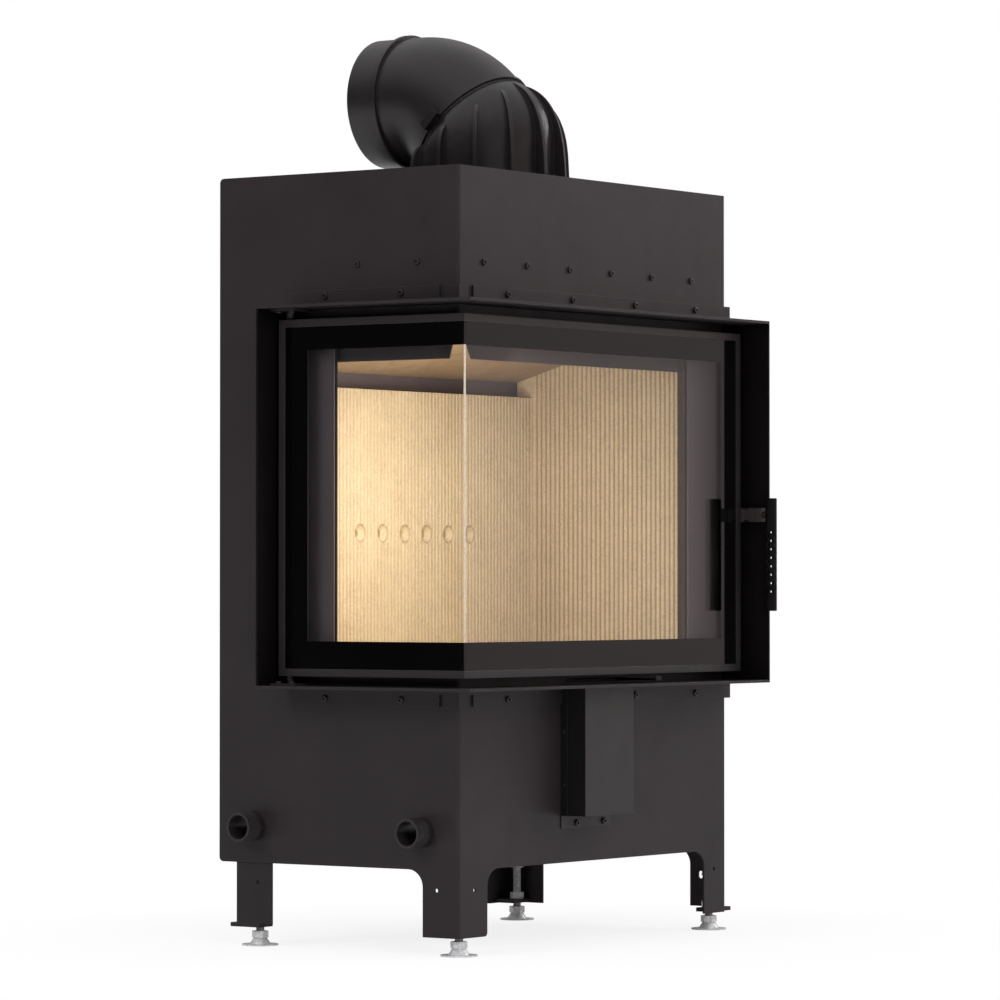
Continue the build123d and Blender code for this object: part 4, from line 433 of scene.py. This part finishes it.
# Firebox
dress(
    coated_steel("firebox_coat", 0.03, 0.62, grain=700.0, depth=0.00008, specular=0.35),
    "firebox_left_wall",
    "firebox_right_wall",
    "firebox_front_wall",
    "firebox_floor",
    "firebox_top",
    "air_chamber",
    "air_damper",
    "upper_baffle",
)
# Painted light: the back wall and the rear air channel are coated far lighter than the firebox coat, for
# the warm glow of the fire on them
dress(
    coated_steel("back_wall_painted_glow", 0.16, 0.6, grain=700.0, depth=0.00008, specular=0.3),
    "firebox_back_wall",
    "rear_air_channel",
)
dress(
    coated_steel("deflector_steel", 0.035, 0.5, grain=800.0, depth=0.00008, specular=0.4),
    "air_deflectors",
)
CLAY = (0.63, 0.505, 0.35)
CLAY_SHADE = (0.54, 0.43, 0.29)
FLUTE_DEPTH = 0.003
dress(fire_clay("lining_clay", CLAY, CLAY_SHADE), "left_lining", "floor_lining")
# The back and right slabs are fluted, with painted shade in the bottoms of their grooves
for slab, axis, groove_shade in (("back_lining", Y, 0.42), ("right_lining", X, 0.6)):
    low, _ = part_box(slab)
    flutes = (axis, low[axis], FLUTE_DEPTH)
    dress(fire_clay(slab + "_clay", CLAY, CLAY_SHADE, flutes, groove_shade), slab)
# Painted shade: the lower baffle is a much darker clay than the linings, for the shade on its underside
dress(fire_clay("baffle_painted_shade_clay", (0.36, 0.26, 0.17), (0.27, 0.19, 0.12)), "lower_baffle")

# Bare and plated metal
ROD_RADIUS = 0.006
THREAD_PITCH = 0.00175
dress(
    bare_metal("blued_steel", (0.1, 0.1, 0.105), 0.36, (1, 1, 12)),
    "hinge_pins",
    "lever_shaft",
    "latch_cam",
)
dress(bare_metal("black_lever", (0.035, 0.034, 0.033), 0.4, (1, 10, 1)), "air_lever")
dress(bare_metal("bush_bronze", (0.13, 0.085, 0.045), 0.42, (1, 1, 14)), "hinge_bushes")
dress(bare_metal("zinc_nuts", (0.86, 0.86, 0.87), 0.34, (8, 1, 1), metallic=0.3), "foot_lock_nuts")
for foot in ("front_left_foot", "front_right_foot", "rear_left_foot", "rear_right_foot"):
    low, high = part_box(foot)
    dress(foot_zinc(foot + "_zinc", (low + high) / 2, ROD_RADIUS, THREAD_PITCH), foot)

# Castings and flue
dress(cast_iron("stub_iron", 0.014, 0.36), "side_stubs")
dress(cast_iron("dome_iron", 0.01, 0.32), "flue_dome")
dress(
    coated_steel("elbow_enamel", 0.012, 0.34, grain=1800.0, depth=0.00008),
    "flue_elbow",
    "swivel_band",
)

# Glass: the printed border starts inside the lip of the door frame
LIP = 0.011
PRINT_TOP = door_high.z - LIP - 0.033
PRINT_BOTTOM = door_low.z + LIP + 0.0395
PRINT_REAR = door_high.y - LIP - 0.037
PRINT_RIGHT = door_high.x - LIP - 0.041
flat_prints = [(Z, PRINT_TOP, 1), (Z, PRINT_BOTTOM, -1)]
dress(pane("side_pane", X, [*flat_prints, (Y, PRINT_REAR, 1)], ink_tone=0.0008), "side_glass")
dress(pane("front_pane", Y, [*flat_prints, (X, PRINT_RIGHT, 1)], ink_tone=0.002), "front_glass")


# Rope seal, pressed into an oval between the door's flange and the casing
ROPE_WIDTH = 0.008
ROPE_THICK = 0.00265
ROPE_STEP = 0.0016
ROPE_RING = 14
STRAND_TURN = 0.45
STRAND_DEPTH = 0.06
OVAL_POWER = 0.7
CORNER_CUT = 0.003
CORNER_ROUND = 0.3


def rope_path():
    """Rows (middle, way to the opening's middle, way out of the face) of a closed path.

    It goes round the corner opening, over the front and the left face.
    """
    low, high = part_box("door_seal")
    half_width, half_thick = ROPE_WIDTH / 2, ROPE_THICK / 2
    left, right = low.x + half_thick, high.x - half_width
    near, rear = low.y + half_thick, high.y - half_width
    bottom, top = low.z + half_width, high.z - half_width
    front, side, up = Vector((0, -1, 0)), Vector((-1, 0, 0)), Vector((0, 0, 1))
    runs = [
        (Vector((right, near, bottom)), up, front),
        (Vector((left, near, bottom)), up, side),
        (Vector((left, rear, bottom)), front, side),
        (Vector((left, rear, top)), -up, side),
        (Vector((left, near, top)), -up, front),
        (Vector((right, near, top)), side, front),
    ]
    rows = []
    for k, (start, inward, normal) in enumerate(runs):
        end, next_inward, next_normal = runs[(k + 1) % len(runs)]
        after = runs[(k + 2) % len(runs)][0]
        along, onward = (end - start).normalized(), (after - end).normalized()
        first, last = start + along * CORNER_CUT, end - along * CORNER_CUT
        count = round((last - first).length / ROPE_STEP)
        rows += [(first.lerp(last, step / count), inward, normal) for step in range(count)]
        bend = (onward - along) * CORNER_CUT * CORNER_ROUND if normal != next_normal else Vector()
        rows.append((end + bend, (inward + next_inward).normalized(), (normal + next_normal).normalized()))
    return rows


def rounded(value):
    """Sine or cosine bulged from a circle towards an oval with flat sides."""
    return math.copysign(abs(value) ** OVAL_POWER, value)


def rope_seal():
    """Braided loop along the rope's path."""
    rows = rope_path()
    verts = []
    for k, (middle, inward, normal) in enumerate(rows):
        for m in range(ROPE_RING):
            angle = 2 * math.pi * m / ROPE_RING
            twist = k * STRAND_TURN
            crossing = abs(math.sin(twist + angle)) + abs(math.sin(twist - angle))
            strand = 1 - STRAND_DEPTH * crossing
            across = rounded(math.cos(angle)) * ROPE_WIDTH / 2 * strand
            out = rounded(math.sin(angle)) * ROPE_THICK / 2 * strand
            verts.append(middle + inward * across + normal * out)
    quads = []
    for k in range(len(rows)):
        here, there = k * ROPE_RING, (k + 1) % len(rows) * ROPE_RING
        for m in range(ROPE_RING):
            beside = (m + 1) % ROPE_RING
            quads.append((here + m, here + beside, there + beside, there + m))
    mesh = bpy.data.meshes.new("seal_rope")
    mesh.from_pydata(verts, [], quads)
    mesh.update()
    for polygon in mesh.polygons:
        polygon.use_smooth = True
    piece = bpy.data.objects.new("seal_rope", mesh)
    bpy.context.scene.collection.objects.link(piece)
    mesh.materials.append(rope("seal_braid"))
    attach(piece, "door")
    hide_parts("door_seal")


rope_seal()


# Floor, pale close to the feet for their shadow and plain white further away
FLOOR_REACH = 8.0
FLOOR_PLACE = -0.0003
FLOOR_LIFT = 0.84
FADE_START, FADE_END = 0.3, 0.9

floor_mesh = bpy.data.meshes.new("floor")
floor_mesh.from_pydata(
    [(x * FLOOR_REACH, y * FLOOR_REACH, FLOOR_PLACE) for x, y in ((-1, -1), (1, -1), (1, 1), (-1, 1))],
    [],
    [(0, 1, 2, 3)],
)
floor = bpy.data.objects.new("floor", floor_mesh)
bpy.context.scene.collection.objects.link(floor)
g = material_graph("studio_floor")
pale = g.tint(g.span(g.noise(160.0, detail=3.0, rough=0.5)), grey(0.89), grey(0.92))
matt = g.add("ShaderNodeBsdfDiffuse", {"Color": pale, "Roughness": 0.5})
white = g.add("ShaderNodeEmission", {"Color": WHITE, "Strength": 1.0})
distance = g.add("ShaderNodeVectorMath", {0: g.place}, operation="LENGTH").outputs["Value"]
fade = g.math("MULTIPLY", g.span(distance, FADE_START, FADE_END, FLOOR_LIFT), g.seen_plainly())
floor_mesh.materials.append(g.show(g.blend(fade, matt, white)))
floor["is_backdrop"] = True

# The room is bright to the front right and overhead, and dark behind the left side
ROOM_BRIGHT_WAY = (0.8134, -0.5817, 0.0)
ROOM_BRIGHT = (0.49, 0.42, 0.41, 1.0)
ROOM_DARK = (0.03, 0.03, 0.033, 1.0)
ROOM_CEILING = (0.8, 0.8, 0.82, 1.0)
WALL_FADE = (-0.75, 0.85)
CEILING_FADE = (0.25, 0.8)

world = bpy.data.worlds.new("studio")
bpy.context.scene.world = world
g = Graph(world, "ShaderNodeOutputWorld")
to_bright = g.add("ShaderNodeVectorMath", {0: g.way, 1: ROOM_BRIGHT_WAY}, operation="DOT_PRODUCT")
walls = g.tint(g.span(to_bright.outputs["Value"], *WALL_FADE), ROOM_DARK, ROOM_BRIGHT)
room = g.tint(g.span(g.parts(g.way)[Z], *CEILING_FADE), walls, ROOM_CEILING)
around = g.add("ShaderNodeBackground", {"Color": room, "Strength": 1.0})
backdrop = g.add("ShaderNodeBackground", {"Color": WHITE, "Strength": 1.0})
g.show(g.blend(g.seen_plainly(), around, backdrop))


# Lamps
def soft_box(name, place, target, size, power, color=(1.0, 1.0, 1.0), seen_in_gloss=False):
    """Rectangular lamp that shines from place to target."""
    data = bpy.data.lights.new(name, "AREA")
    data.shape = "RECTANGLE"
    data.size, data.size_y = size
    data.energy = power
    data.color = color
    lamp = bpy.data.objects.new(name, data)
    bpy.context.scene.collection.objects.link(lamp)
    lamp.location = place
    aim(lamp, Vector(target) - Vector(place))
    lamp.visible_camera = False
    lamp.visible_glossy = seen_in_gloss
    return lamp


soft_box("key", (-2.8, -4.6, 2.3), (0.0, 0.0, 0.6), (2.4, 2.4), power=82.0)
soft_box("side", (-5.0, 0.6, 2.6), (0.0, 0.0, 0.6), (2.0, 2.0), power=106.0)
soft_box("fill", (3.0, -2.6, 3.6), (0.0, 0.0, 0.7), (2.0, 2.0), power=55.0)

# Tall bright window that only the glossy pieces mirror
window = soft_box(
    "window", (5.6, -2.1, 3.0), (0.0, 0.0, 1.15), (0.3, 2.6), power=40.0, seen_in_gloss=True
)
window.visible_diffuse = False

# Glow of the fire, inside the firebox behind the corner of the door
hearth_low, hearth_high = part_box("floor_lining")
soft_box(
    "hearth_glow",
    (hearth_low.x + 0.07, hearth_low.y + 0.03, hearth_high.z + 0.24),
    (hearth_high.x - 0.2, hearth_high.y, hearth_high.z + 0.2),
    (0.26, 0.34),
    power=2.0,
    color=(1.0, 0.9, 0.75),
)

bpy.context.scene.view_settings.view_transform = "Standard"

# Size of the dressed model, without the floor
low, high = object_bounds()
